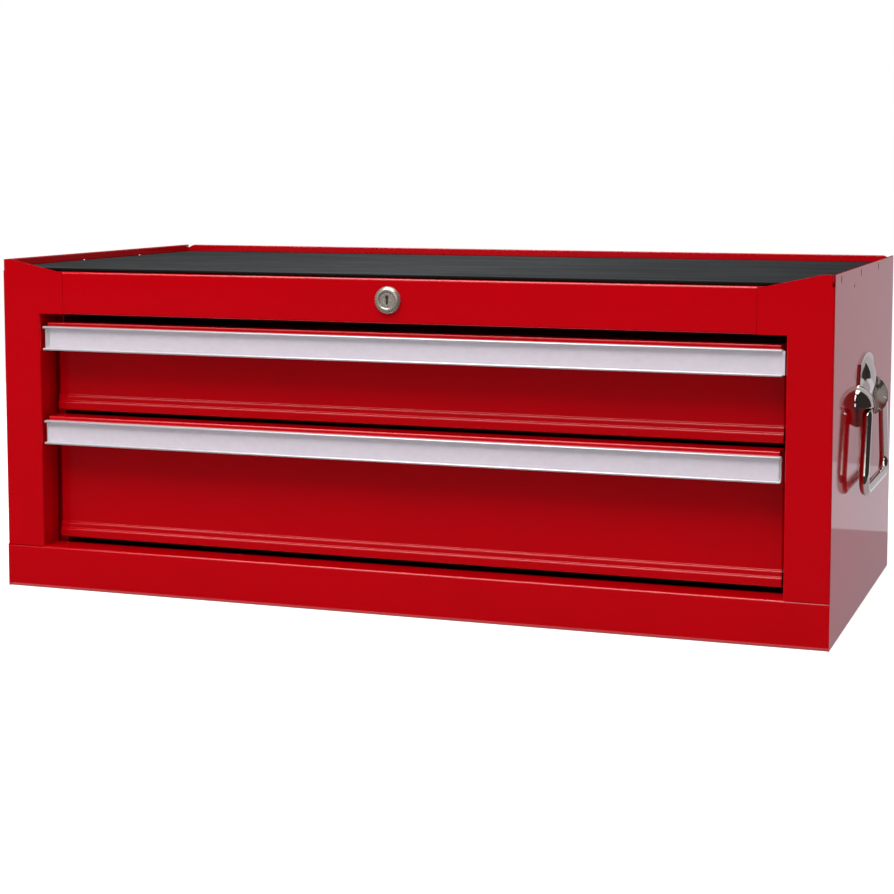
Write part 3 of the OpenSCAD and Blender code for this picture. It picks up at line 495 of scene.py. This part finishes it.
def draw_line(bm, points, closed=False):
    """Draws a line through the points and returns its edges."""
    corners = [bm.verts.new(p) for p in points]
    ends = corners[1:] + (corners[:1] if closed else [])
    return [bm.edges.new(pair) for pair in zip(corners, ends)]


def pull_out(bm, edges, move):
    """Runs a line out to a surface and returns its far edges."""
    out = bmesh.ops.extrude_edge_only(bm, edges=edges)
    bmesh.ops.translate(bm, verts=new_verts(out), vec=move)
    return new_edges(out)


def bevel(bm, edges, width, steps, clamp=False):
    """Rounds the edges, with clamp only as far as their neighbours leave room."""
    bmesh.ops.bevel(bm, geom=edges, offset=width, offset_type="OFFSET", segments=steps, profile=0.5,
                    affect="EDGES", material=-1, clamp_overlap=clamp)


def round_folds(bm, edges, radius, steps):
    """Rounds each fold to the radius, whatever angle it turns through."""
    turns = {}
    for e in edges:
        turns.setdefault(round(e.calc_face_angle(), 3), []).append(e)
    for turn, folds in turns.items():
        bevel(bm, folds, radius * math.tan(turn / 2), steps)


def tidy_faces(bm):
    """Joins what touches and turns every face outwards."""
    bmesh.ops.remove_doubles(bm, verts=bm.verts, dist=MERGE)
    bmesh.ops.recalc_face_normals(bm, faces=bm.faces)


def merged_copy(node):
    """A node's loose triangles joined to one skin, with its flats made whole again."""
    bm = bmesh.new()
    bm.from_mesh(frame["nodes"][node].data)
    bmesh.ops.remove_doubles(bm, verts=bm.verts, dist=MERGE)
    bmesh.ops.dissolve_limit(bm, angle_limit=FLAT, verts=bm.verts, edges=bm.edges,
                             use_dissolve_boundaries=False)
    return bm


def soften(bm, width, steps=2):
    """Rounds the sharp edges."""
    sharp = [e for e in bm.edges if e.is_manifold and e.calc_face_angle() > SHARP]
    bevel(bm, sharp, width, steps, clamp=True)


def extruded(line, start, run):
    """Runs a closed outline of (y, z) along X from the start, as a solid bar."""
    bm = bmesh.new()
    edges = draw_line(bm, [(start, y, z) for y, z in line], closed=True)
    end = bmesh.ops.contextual_create(bm, geom=edges)["faces"]
    out = bmesh.ops.extrude_face_region(bm, geom=end)
    bmesh.ops.translate(bm, verts=new_verts(out), vec=(run, 0, 0))
    tidy_faces(bm)
    return bm


def add_piece(name, bm, body, nodes, finish=None, wall=None, edge=None):
    """Makes a mesh a piece that rides on a body and stands for the nodes."""
    slot = slot_of(nodes[0])
    mesh = bpy.data.meshes.new(name)
    bm.to_mesh(mesh)
    bm.free()
    mesh.shade_smooth()
    mesh.materials.append(finish_for(finish or slot))
    piece = bpy.data.objects.new(name, mesh)
    bpy.context.scene.collection.objects.link(piece)
    if wall:
        solid = piece.modifiers.new("sheet", "SOLIDIFY")
        solid.thickness = wall
        solid.offset = 0
        solid.use_even_offset = True
    if edge:
        rim = piece.modifiers.new("cut edges", "BEVEL")
        rim.width = edge
        rim.segments = 2
        rim.limit_method = "ANGLE"
        rim.angle_limit = SHEET_SHARP
    shading = piece.modifiers.new("even shading", "WEIGHTED_NORMAL")
    shading.keep_sharp = True
    shading.weight = 50
    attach(piece, body)
    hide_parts(*nodes)


def soft_piece(name, node, body, width, steps=2, finish=None):
    """Makes a piece of a node's own shape, with its sharp edges rounded."""
    bm = merged_copy(node)
    soften(bm, width, steps)
    add_piece(name, bm, body, [node], finish)


def tube_turn(bm, ring, centre, axis, angle, steps):
    """Carries a ring of edges round a bend and returns the ring at its end."""
    ends = {v for e in ring for v in e.verts}
    out = bmesh.ops.spin(bm, geom=list(ends) + ring, cent=centre, axis=axis, angle=angle,
                         steps=steps, use_duplicate=False)
    return [g for g in out["geom_last"] if isinstance(g, bmesh.types.BMEdge)]


def lathe(bm, profile, centre):
    """Turns a profile of (radius, distance along Y) round an axis along Y."""
    edges = draw_line(bm, [centre + Vector((r, y, 0)) for r, y in profile])
    verts = {v for e in edges for v in e.verts}
    bmesh.ops.spin(bm, geom=list(verts) + edges, cent=centre, axis=Y, angle=2 * math.pi,
                   steps=LATHE_STEPS, use_merge=True, use_duplicate=False)


# ---- the stage -----------------------------------------------------------------------------

# Where the camera stands, in metres, and how it is turned and framed, in degrees and millimetres
CAMERA_AT = Vector((0.53381, -1.49675, 0.33720))
CAMERA_AZIMUTH, CAMERA_ELEVATION, CAMERA_ROLL = 19.195, 5.245, 0.051
CAMERA_LENS, CAMERA_SENSOR = 78.34, 36.0
CAMERA_SHIFT = (-0.03, -0.114)


def camera_frame():
    """The camera's place and turn: it looks down its own -Z with +Y up."""
    a, e, r = (math.radians(v) for v in (CAMERA_AZIMUTH, CAMERA_ELEVATION, CAMERA_ROLL))
    ahead = Vector((-math.sin(a) * math.cos(e), math.cos(a) * math.cos(e), -math.sin(e)))
    level = Vector((math.cos(a), math.sin(a), 0))
    lift = level.cross(ahead)
    right = math.cos(r) * level + math.sin(r) * lift
    up = -math.sin(r) * level + math.cos(r) * lift
    turn = Matrix((right, up, -ahead)).transposed().to_4x4()
    return Matrix.Translation(CAMERA_AT) @ turn


def seen_rays(material):
    """1 on the rays that show the background: the camera's, and those by way of gloss or glass."""
    rays = add(material, "LightPath").outputs
    shown = add(material, "Math", {0: rays["Is Camera Ray"], 1: rays["Is Glossy Ray"]},
                operation="MAXIMUM")
    shown = add(material, "Math", {0: shown.outputs[0], 1: rays["Is Transmission Ray"]},
                operation="MAXIMUM")
    return shown.outputs[0]


def area_lamp(name, at, towards, size, power):
    """A soft rectangular lamp; its place and size are in metres."""
    lamp = bpy.data.lights.new(name, "AREA")
    lamp.shape = "RECTANGLE"
    lamp.size, lamp.size_y = size
    lamp.energy = power
    thing = bpy.data.objects.new(name, lamp)
    thing.location = at
    thing.rotation_euler = (Vector(towards) - Vector(at)).to_track_quat("-Z", "Y").to_euler()
    bpy.context.scene.collection.objects.link(thing)


def reflector_card(name, corners, shade, strength=1.0):
    """A card or flag that stands beside the set and is seen only in reflections."""
    bm = bmesh.new()
    bm.faces.new([bm.verts.new(c) for c in corners])
    mesh = bpy.data.meshes.new(name)
    bm.to_mesh(mesh)
    bm.free()
    m = blank_material(name)
    surface(m, add(m, "Emission", {"Color": from_hex(shade), "Strength": strength}))
    mesh.materials.append(m)
    card = bpy.data.objects.new(name, mesh)
    bpy.context.scene.collection.objects.link(card)
    card.visible_camera = card.visible_diffuse = False
    card.visible_transmission = card.visible_shadow = False


def upright(x0, y0, x1, y1, z0, z1):
    """The corners of a card that stands on a line, from one height to the other."""
    return [(x0, y0, z0), (x1, y1, z0), (x1, y1, z1), (x0, y0, z1)]


def flat(x0, x1, y0, y1, z):
    """The corners of a card that lies level."""
    return [(x0, y0, z), (x1, y0, z), (x1, y1, z), (x0, y1, z)]


FLOOR_LEVEL = -0.05 * MM        # just clear of the chest's underside
FLOOR_STEPS = 96

# Dark flags and pale cards round the set, which only shiny surfaces show: name, corners in
# metres, shade, and strength where it isn't 1
CARDS = (
    ("front_flag", upright(-6, -3.4, 6, -3.4, -4, 4), "2A2829"),
    ("overhead_flag", flat(-6, 6, -3.4, 6, 4), "2A2829"),
    ("floor_flag", flat(-3, 3, -3.4, -0.165, 0.0005), "3A383A"),
    ("right_flag", upright(2.4, -3.4, 2.4, 1.4, -1, 4), "332E2C"),
    ("rear_flag", upright(-6, 6, 2.2, 6, -1, 4), "3A383A"),
    ("left_flag", upright(-6, -3.4, -6, 6, -1, 4), "3A383A"),
    ("front_strip", upright(-2.4, -3.3, 1.6, -3.3, 0.4, 1.5), "FFFFFF", 1.5),
    ("rear_card", upright(0.36, 0.5, 1.6, 0.9, 0.031, 1.6), "BDB6BC"),
    ("rear_floor", flat(-6, 6, 0.31, 6, 0.0005), "DAD8E0"),
    ("left_floor", flat(-6, -0.3301, -0.165, 0.31, 0.0005), "DAD8E0"),
    ("near_floor", flat(0.3301, 1.6, -0.165, 0.31, 0.0005), "B4A6AD"),
)


class CHEST_OT_stage(Operator):
    """Sets up the floor, the light and the camera"""
    bl_idname = "tool_chest.stage"
    bl_label = "Stage"

    def execute(self, context):
        s = settings().studio
        scene = context.scene
        scene.view_settings.view_transform = "Standard"

        bm = bmesh.new()
        bmesh.ops.create_circle(bm, cap_ends=True, segments=FLOOR_STEPS, radius=s.floor_radius)
        bmesh.ops.translate(bm, verts=bm.verts, vec=Z * FLOOR_LEVEL)
        mesh = bpy.data.meshes.new("studio_floor")
        bm.to_mesh(mesh)
        bm.free()
        m = blank_material("studio_floor")
        shown = seen_rays(m)
        matt = add(m, "BsdfDiffuse", {"Color": s.floor})
        lift = add(m, "Emission", {"Color": WHITE, "Strength": s.floor_lift})
        dark = add(m, "Emission", {"Color": BLACK, "Strength": 0.0})
        glow = add(m, "MixShader", {0: shown, 1: dark.outputs[0], 2: lift.outputs[0]})
        surface(m, add(m, "AddShader", {0: matt.outputs[0], 1: glow.outputs[0]}))
        mesh.materials.append(m)
        floor = bpy.data.objects.new("studio_floor", mesh)
        scene.collection.objects.link(floor)

        world = bpy.data.worlds.new("studio")
        scene.world = world
        world.use_nodes = True
        world.node_tree.nodes.clear()
        shown = seen_rays(world)
        white = add(world, "Background", {"Color": WHITE, "Strength": 1.0})
        soft = add(world, "Background", {"Color": WHITE, "Strength": s.ambient})
        both = add(world, "MixShader", {0: shown, 1: soft.outputs[0], 2: white.outputs[0]})
        add(world, "OutputWorld", {"Surface": both.outputs[0]})

        area_lamp("key_lamp", at=(-0.4, -1.35, 2.4), towards=(0, 0, 0.12), size=(2.4, 1.6),
                  power=s.key)
        area_lamp("top_lamp", at=(0.0, 0.3, 2.2), towards=(0, 0, 0.1), size=(2.2, 1.2),
                  power=s.top)

        for card in CARDS:
            reflector_card(*card)

        camera = bpy.data.cameras.new("camera")
        camera.lens, camera.sensor_width = CAMERA_LENS, CAMERA_SENSOR
        camera.shift_x, camera.shift_y = CAMERA_SHIFT
        eye = bpy.data.objects.new("camera", camera)
        eye.matrix_world = camera_frame()
        scene.collection.objects.link(eye)
        scene.camera = eye
        return {"FINISHED"}


# ---- the pieces ----------------------------------------------------------------------------

class CHEST_OT_cabinet(Operator):
    """Makes the folded and painted sheets of the cabinet"""
    bl_idname = "tool_chest.cabinet"
    bl_label = "Cabinet"

    def execute(self, context):
        s = settings().sheet
        for node in ("left_side_panel", "right_side_panel", "back_panel", "bottom_panel",
                     "top_panel", "header_rail"):
            soft_piece(f"{node}_painted", node, "cabinet", s.cut_edge)
        return {"FINISHED"}


class CHEST_OT_mat(Operator):
    """Makes the ribbed mat in the tray"""
    bl_idname = "tool_chest.mat"
    bl_label = "Tray mat"

    def execute(self, context):
        s = settings().mat
        low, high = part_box("top_mat")
        # One groove fewer than would fit, so that both borders stay plain
        count = math.floor((high.y - low.y) / s.rib_pitch) - 1
        first = low.y + ((high.y - low.y) - (count - 1) * s.rib_pitch) / 2
        line = [(low.y, high.z), (low.y, low.z), (high.y, low.z), (high.y, high.z)]
        for i in reversed(range(count)):
            groove = first + i * s.rib_pitch
            line += [(groove + s.groove_half, high.z), (groove, high.z - s.groove_depth),
                     (groove - s.groove_half, high.z)]
        bm = extruded(line, low.x, high.x - low.x)
        crown = high.z - 0.01 * MM
        ridges = [e for e in bm.edges if e.calc_length() > LONG_EDGE
                  and min(v.co.z for v in e.verts) > crown]
        bevel(bm, ridges, s.rib_edge, steps=2)
        add_piece("ribbed_tray_mat", bm, "cabinet", ["top_mat"])
        return {"FINISHED"}


def drawer_front(drawer):
    """The folded front of a drawer: a stepped foot, the face, and a lip on top for the pull."""
    s, f = settings().sheet, settings().front
    half = s.thickness / 2
    low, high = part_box(f"{drawer}_drawer_front")
    face, lip = high.y - f.foot, low.y + half
    foot, top = low.z + half - f.foot_drop, high.z - half
    hem_foot = low.z - f.foot_drop
    hem_top = hem_foot + f.hem_height
    step_top = hem_top + f.step_height
    bend = f.hem_out / 2
    line = [(face + f.foot, foot), (face - f.hem_out, foot), (face - f.hem_out, hem_top),
            (face - bend, hem_top + bend), (face - bend, step_top), (face, step_top + bend),
            (face, top), (lip, top), (lip, high.z - f.lip_height)]
    bm = bmesh.new()
    edges = draw_line(bm, [(low.x + half, y, z) for y, z in line])
    pull_out(bm, edges, (high.x - low.x - s.thickness, 0, 0))
    round_folds(bm, [e for e in bm.edges if len(e.link_faces) == 2], s.front_fold, s.fold_steps)
    flange_foot, flange_top = step_top + 2 * bend, high.z - f.flange_drop
    for z in (flange_foot, flange_top):
        bmesh.ops.bisect_plane(bm, geom=[*bm.verts, *bm.edges, *bm.faces], plane_co=Z * z,
                               plane_no=Z)
    rims = []
    for e in bm.edges:
        a, b = (v.co for v in e.verts)
        on_face = abs(a.y - face) < half and abs(b.y - face) < half
        in_reach = min(a.z, b.z) > flange_foot - half and max(a.z, b.z) < flange_top + half
        if (e.is_boundary and abs(a.x - b.x) < half and on_face and in_reach
                and abs(a.z - b.z) > f.hem_height):
            rims.append(e)
    pull_out(bm, rims, (0, f.flange, 0))
    round_folds(bm, rims, s.front_fold, s.fold_steps)
    bmesh.ops.recalc_face_normals(bm, faces=bm.faces)
    return bm


class CHEST_OT_drawer_fronts(Operator):
    """Makes the folded fronts of both drawers"""
    bl_idname = "tool_chest.drawer_fronts"
    bl_label = "Drawer fronts"

    def execute(self, context):
        s = settings().sheet
        for drawer in DRAWERS:
            add_piece(f"{drawer}_folded_front", drawer_front(drawer), f"{drawer}_drawer",
                      [f"{drawer}_drawer_front"], wall=s.thickness, edge=s.cut_edge)
        return {"FINISHED"}


class CHEST_OT_drawer_boxes(Operator):
    """Makes the folded boxes of both drawers, with their walls and liners"""
    bl_idname = "tool_chest.drawer_boxes"
    bl_label = "Drawer boxes"

    def execute(self, context):
        s, m = settings().sheet, settings().mat
        for drawer in DRAWERS:
            for part in ("box", "inner_wall", "back_wall"):
                node = f"{drawer}_drawer_{part}"
                soft_piece(f"{node}_painted", node, f"{drawer}_drawer", s.cut_edge)
            node = f"{drawer}_drawer_liner"
            soft_piece(f"{node}_foam", node, f"{drawer}_drawer", m.liner_edge, steps=3)
        return {"FINISHED"}


class CHEST_OT_pulls(Operator):
    """Makes the aluminium pulls and their label strips"""
    bl_idname = "tool_chest.pulls"
    bl_label = "Pulls"

    def execute(self, context):
        p = settings().pull
        for drawer in DRAWERS:
            low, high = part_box(f"{drawer}_drawer_pull")
            strip_low, strip_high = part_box(f"{drawer}_label_strip")
            foot, top, front, back = low.z, high.z, low.y, high.y
            slot_back = back - p.wall
            slot = slot_back - p.slot
            wall = slot - p.wall
            groove = strip_low.y - p.strip_gap
            line = [(front, foot), (slot_back, foot), (back, foot + p.wall), (back, top - p.wall),
                    (slot_back, top - p.wall), (slot_back, foot + p.slot_floor),
                    (slot, foot + p.slot_floor), (slot, top), (front, top), (front, top - p.lip),
                    (groove, top - p.lip), (groove, top - p.undercut), (wall, top - p.undercut),
                    (wall, foot + p.undercut), (groove, foot + p.undercut), (groove, foot + p.lip),
                    (front, foot + p.lip)]
            bm = extruded(line, low.x, high.x - low.x)
            lips = [e for e in bm.edges if e.calc_length() > LONG_EDGE
                    and max(v.co.y for v in e.verts) < front + p.lip_corner]
            bevel(bm, lips, p.lip_corner, steps=5)
            corners = [e for e in bm.edges if e.calc_length() > LONG_EDGE
                       and e.calc_face_angle() > SQUARE]
            bevel(bm, corners, p.corner, steps=3)
            add_piece(f"{drawer}_extruded_pull", bm, f"{drawer}_drawer", [f"{drawer}_drawer_pull"])

            bm = bmesh.new()
            bmesh.ops.create_cube(bm, size=1)
            bmesh.ops.scale(bm, vec=strip_high - strip_low, verts=bm.verts)
            bmesh.ops.translate(bm, vec=(strip_high + strip_low) / 2, verts=bm.verts)
            soften(bm, p.strip_edge, steps=3)
            add_piece(f"{drawer}_silver_strip", bm, f"{drawer}_drawer", [f"{drawer}_label_strip"])
        return {"FINISHED"}


# The face of the lock's bezel, from its bore out and on to its rim: distance out from the bore or
# in from the rim, and depth behind the face, in millimetres
BORE_MOUTH = ((0, 0.9), (0.15, 0.4), (0.6, 0.08), (1, 0))
BEZEL_RIM = ((2.4, 0), (1.9, 0.08), (1.2, 0.5), (0.55, 1.2), (0.15, 2), (0, 2.6))
THREAD_CREST = 0.3      # where a thread's crest lies before its root, as a part of the pitch


class CHEST_OT_lock(Operator):
    """Makes the lock's housing and the plug that the key turns"""
    bl_idname = "tool_chest.lock"
    bl_label = "Lock"

    def execute(self, context):
        s = settings().lock
        low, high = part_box("lock_housing")
        axis = lock_axis()
        bore = s.plug / 2 + s.plug_play
        rim = s.bezel / 2
        front = low.y
        seat = front + s.bezel_out
        profile = [(bore, high.y)]
        profile += [(bore + out * MM, front + depth * MM) for out, depth in BORE_MOUTH]
        profile += [(rim - inward * MM, front + depth * MM) for inward, depth in BEZEL_RIM]
        profile += [(rim, seat), (s.barrel / 2, seat)]
        root = s.barrel / 2 - s.thread_depth
        turns = int((high.y - seat) / s.thread_pitch)
        for i in range(turns):
            y = seat + (i + 0.5) * s.thread_pitch
            profile += [(s.barrel / 2, y - THREAD_CREST * s.thread_pitch), (root, y)]
        profile += [(root, high.y), (bore, high.y)]
        bm = bmesh.new()
        lathe(bm, profile, axis)
        tidy_faces(bm)
        add_piece("turned_lock_housing", bm, "cabinet", ["lock_housing"], finish="lock_nickel")

        soft_piece("lock_plug_face", "lock_plug", "key_spindle", s.plug_edge, finish="lock_nickel")
        return {"FINISHED"}


def step_ring(bm, ring, centre, factor):
    """Steps a ring in or out round its centre and returns the new ring."""
    ring = pull_out(bm, ring, (0, 0, 0))
    bmesh.ops.scale(bm, vec=(factor, 1, factor), space=Matrix.Translation(-centre),
                    verts=list({v for e in ring for v in e.verts}))
    return ring


def bent_bail(side):
    """A bail bent from bar: half of it is drawn from the middle of the grip, then mirrored."""
    h = settings().handle
    low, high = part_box(f"{side}_bail")
    x = (low.x + high.x) / 2
    pivot = low.z + h.drop + h.bar / 2
    straight = h.drop - h.elbow - h.grip_bend
    lean = math.atan2((h.grip_width - h.top_width) / 2, straight)
    leg = (straight - (h.grip_bend - h.elbow) * math.sin(lean)) / math.cos(lean)
    outward = Vector((0, math.cos(lean), math.sin(lean)))
    upward = Vector((0, -math.sin(lean), math.cos(lean)))
    elbow = Vector((x, h.top_width / 2 - h.elbow, pivot - h.elbow))
    grip = elbow + outward * h.elbow - upward * leg - outward * h.grip_bend
    collar_in = h.ear - h.collar_gap
    collar_end = collar_in - h.collar_width

    bm = bmesh.new()
    across = Matrix.Translation((x, 0, pivot - h.drop)) @ Matrix.Rotation(math.pi / 2, 4, "X")
    bmesh.ops.create_circle(bm, segments=BAR_STEPS, radius=h.bar / 2, matrix=across)
    ring = pull_out(bm, list(bm.edges), Y * grip.y)
    ring = tube_turn(bm, ring, grip, X, math.pi / 2 + lean, GRIP_STEPS)
    ring = pull_out(bm, ring, upward * leg)
    ring = tube_turn(bm, ring, elbow, X, math.pi / 2 - lean, ELBOW_STEPS)
    ring = step_ring(bm, ring, Vector((x, elbow.y, pivot)), h.tenon / h.bar)
    ring = pull_out(bm, ring, Y * (collar_in - elbow.y))
    ring = step_ring(bm, ring, Vector((x, collar_in, pivot)), h.collar / h.tenon)
    ring = pull_out(bm, ring, Y * (collar_end - collar_in))
    bmesh.ops.contextual_create(bm, geom=ring)
    bmesh.ops.mirror(bm, geom=[*bm.verts, *bm.edges, *bm.faces], merge_dist=MERGE, axis="Y")
    tidy_faces(bm)
    soften(bm, h.collar_edge)
    return bm


# Where a handle's rivets sit, in millimetres towards the back and up from the pivot
RIVET_PLACES = ((0, -15), (24, 9), (-24, 9))
# The outlines of a rivet's button head, from its crown, and of the head that is upset inside, to
# its crown, as parts of the head's radius and height
BUTTON_HEAD = ((0, 0), (0.4, 0.06), (0.7, 0.28), (0.9, 0.58), (1, 0.88), (1, 1))
UPSET_HEAD = ((1, 0), (0.95, 0.5), (0.7, 0.85), (0, 1))


def button_rivets(side):
    """Button-headed rivets that hold a handle's bracket to the side panel."""
    h = settings().handle
    out = X * SIDES[side]
    low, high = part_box(f"{side}_handle_rivets")
    tip, tail = (high.x, low.x) if side == "right" else (low.x, high.x)
    panel_low, panel_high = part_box(f"{side}_side_panel")
    panel = panel_high.x if side == "right" else panel_low.x
    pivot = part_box(f"{side}_bail")[0].z + h.drop + h.bar / 2
    head, shank, rise = h.rivet_head / 2, h.rivet_shank / 2, h.rivet_rise
    reach = abs(tip - panel)
    inner = rise - abs(tail - panel)
    profile = [(r * head, reach - d * rise) for r, d in BUTTON_HEAD]
    profile += [(shank, reach - rise), (shank, inner)]
    profile += [(r * head, inner - d * rise) for r, d in UPSET_HEAD]
    bm = bmesh.new()
    for y, z in RIVET_PLACES:
        centre = Vector((panel, y * MM, pivot + z * MM))
        edges = draw_line(bm, [centre + out * d + Z * r for r, d in profile])
        verts = {v for e in edges for v in e.verts}
        bmesh.ops.spin(bm, geom=list(verts) + edges, cent=centre, axis=X, angle=2 * math.pi,
                       steps=RIVET_STEPS, use_merge=True, use_duplicate=False)
    tidy_faces(bm)
    return bm


class CHEST_OT_handles(Operator):
    """Makes the drop handle on each side: bracket, rivets and bail"""
    bl_idname = "tool_chest.handles"
    bl_label = "Side handles"

    def execute(self, context):
        h = settings().handle
        for side in SIDES:
            soft_piece(f"{side}_pressed_bracket", f"{side}_handle_bracket", "cabinet",
                       h.bracket_edge, steps=3)
            add_piece(f"{side}_button_rivets", button_rivets(side), "cabinet",
                      [f"{side}_handle_rivets"])
            add_piece(f"{side}_bent_bail", bent_bail(side), f"{side}_bail", [f"{side}_bail"])
        return {"FINISHED"}


class CHEST_OT_uprights(Operator):
    """Makes the folded channels inside the cabinet that carry the slides"""
    bl_idname = "tool_chest.uprights"
    bl_label = "Uprights"

    def execute(self, context):
        s = settings().sheet
        for side in SIDES:
            for end in ("front", "rear"):
                node = f"{side}_{end}_upright"
                soft_piece(f"{node}_painted", node, "cabinet", s.cut_edge)
        return {"FINISHED"}


class CHEST_OT_hardware(Operator):
    """Finishes the slides, rivets, catches and lock works, which keep their own shapes"""
    bl_idname = "tool_chest.hardware"
    bl_label = "Slides and lock works"

    def execute(self, context):
        for name, node in frame["nodes"].items():
            if not node.hide_render:
                dress(name)
        return {"FINISHED"}


# ---- panel and registration ----------------------------------------------------------------

STEPS = (CHEST_OT_stage, CHEST_OT_cabinet, CHEST_OT_mat, CHEST_OT_drawer_fronts,
         CHEST_OT_drawer_boxes, CHEST_OT_pulls, CHEST_OT_lock, CHEST_OT_handles, CHEST_OT_uprights,
         CHEST_OT_hardware)


class CHEST_PT_sidebar(Panel):
    bl_label = "Tool Chest"
    bl_idname = "CHEST_PT_sidebar"
    bl_space_type = "VIEW_3D"
    bl_region_type = "UI"
    bl_category = "Tool Chest"

    def draw(self, context):
        column = self.layout.column(align=True)
        for step in STEPS:
            column.operator(step.bl_idname)
        for group in ("sheet", "front", "pull", "mat", "lock", "handle", "colours", "studio"):
            box = self.layout.box()
            box.label(text=group.capitalize())
            values = getattr(context.scene.tool_chest, group)
            for name in values.__annotations__:
                box.prop(values, name)


GROUPS = (SheetSizes, FrontSizes, PullSizes, MatSizes, LockSizes, HandleSizes, FinishColours,
          StudioSettings, ChestSettings)
CLASSES = GROUPS + STEPS + (CHEST_PT_sidebar,)


def register():
    for cls in CLASSES:
        bpy.utils.register_class(cls)
    bpy.types.Scene.tool_chest = PointerProperty(type=ChestSettings)


def unregister():
    del bpy.types.Scene.tool_chest
    for cls in reversed(CLASSES):
        bpy.utils.unregister_class(cls)


def main():
    register()
    for step in STEPS:
        group, name = step.bl_idname.split(".")
        getattr(getattr(bpy.ops, group), name)()


if __name__ == "__main__":
    main()
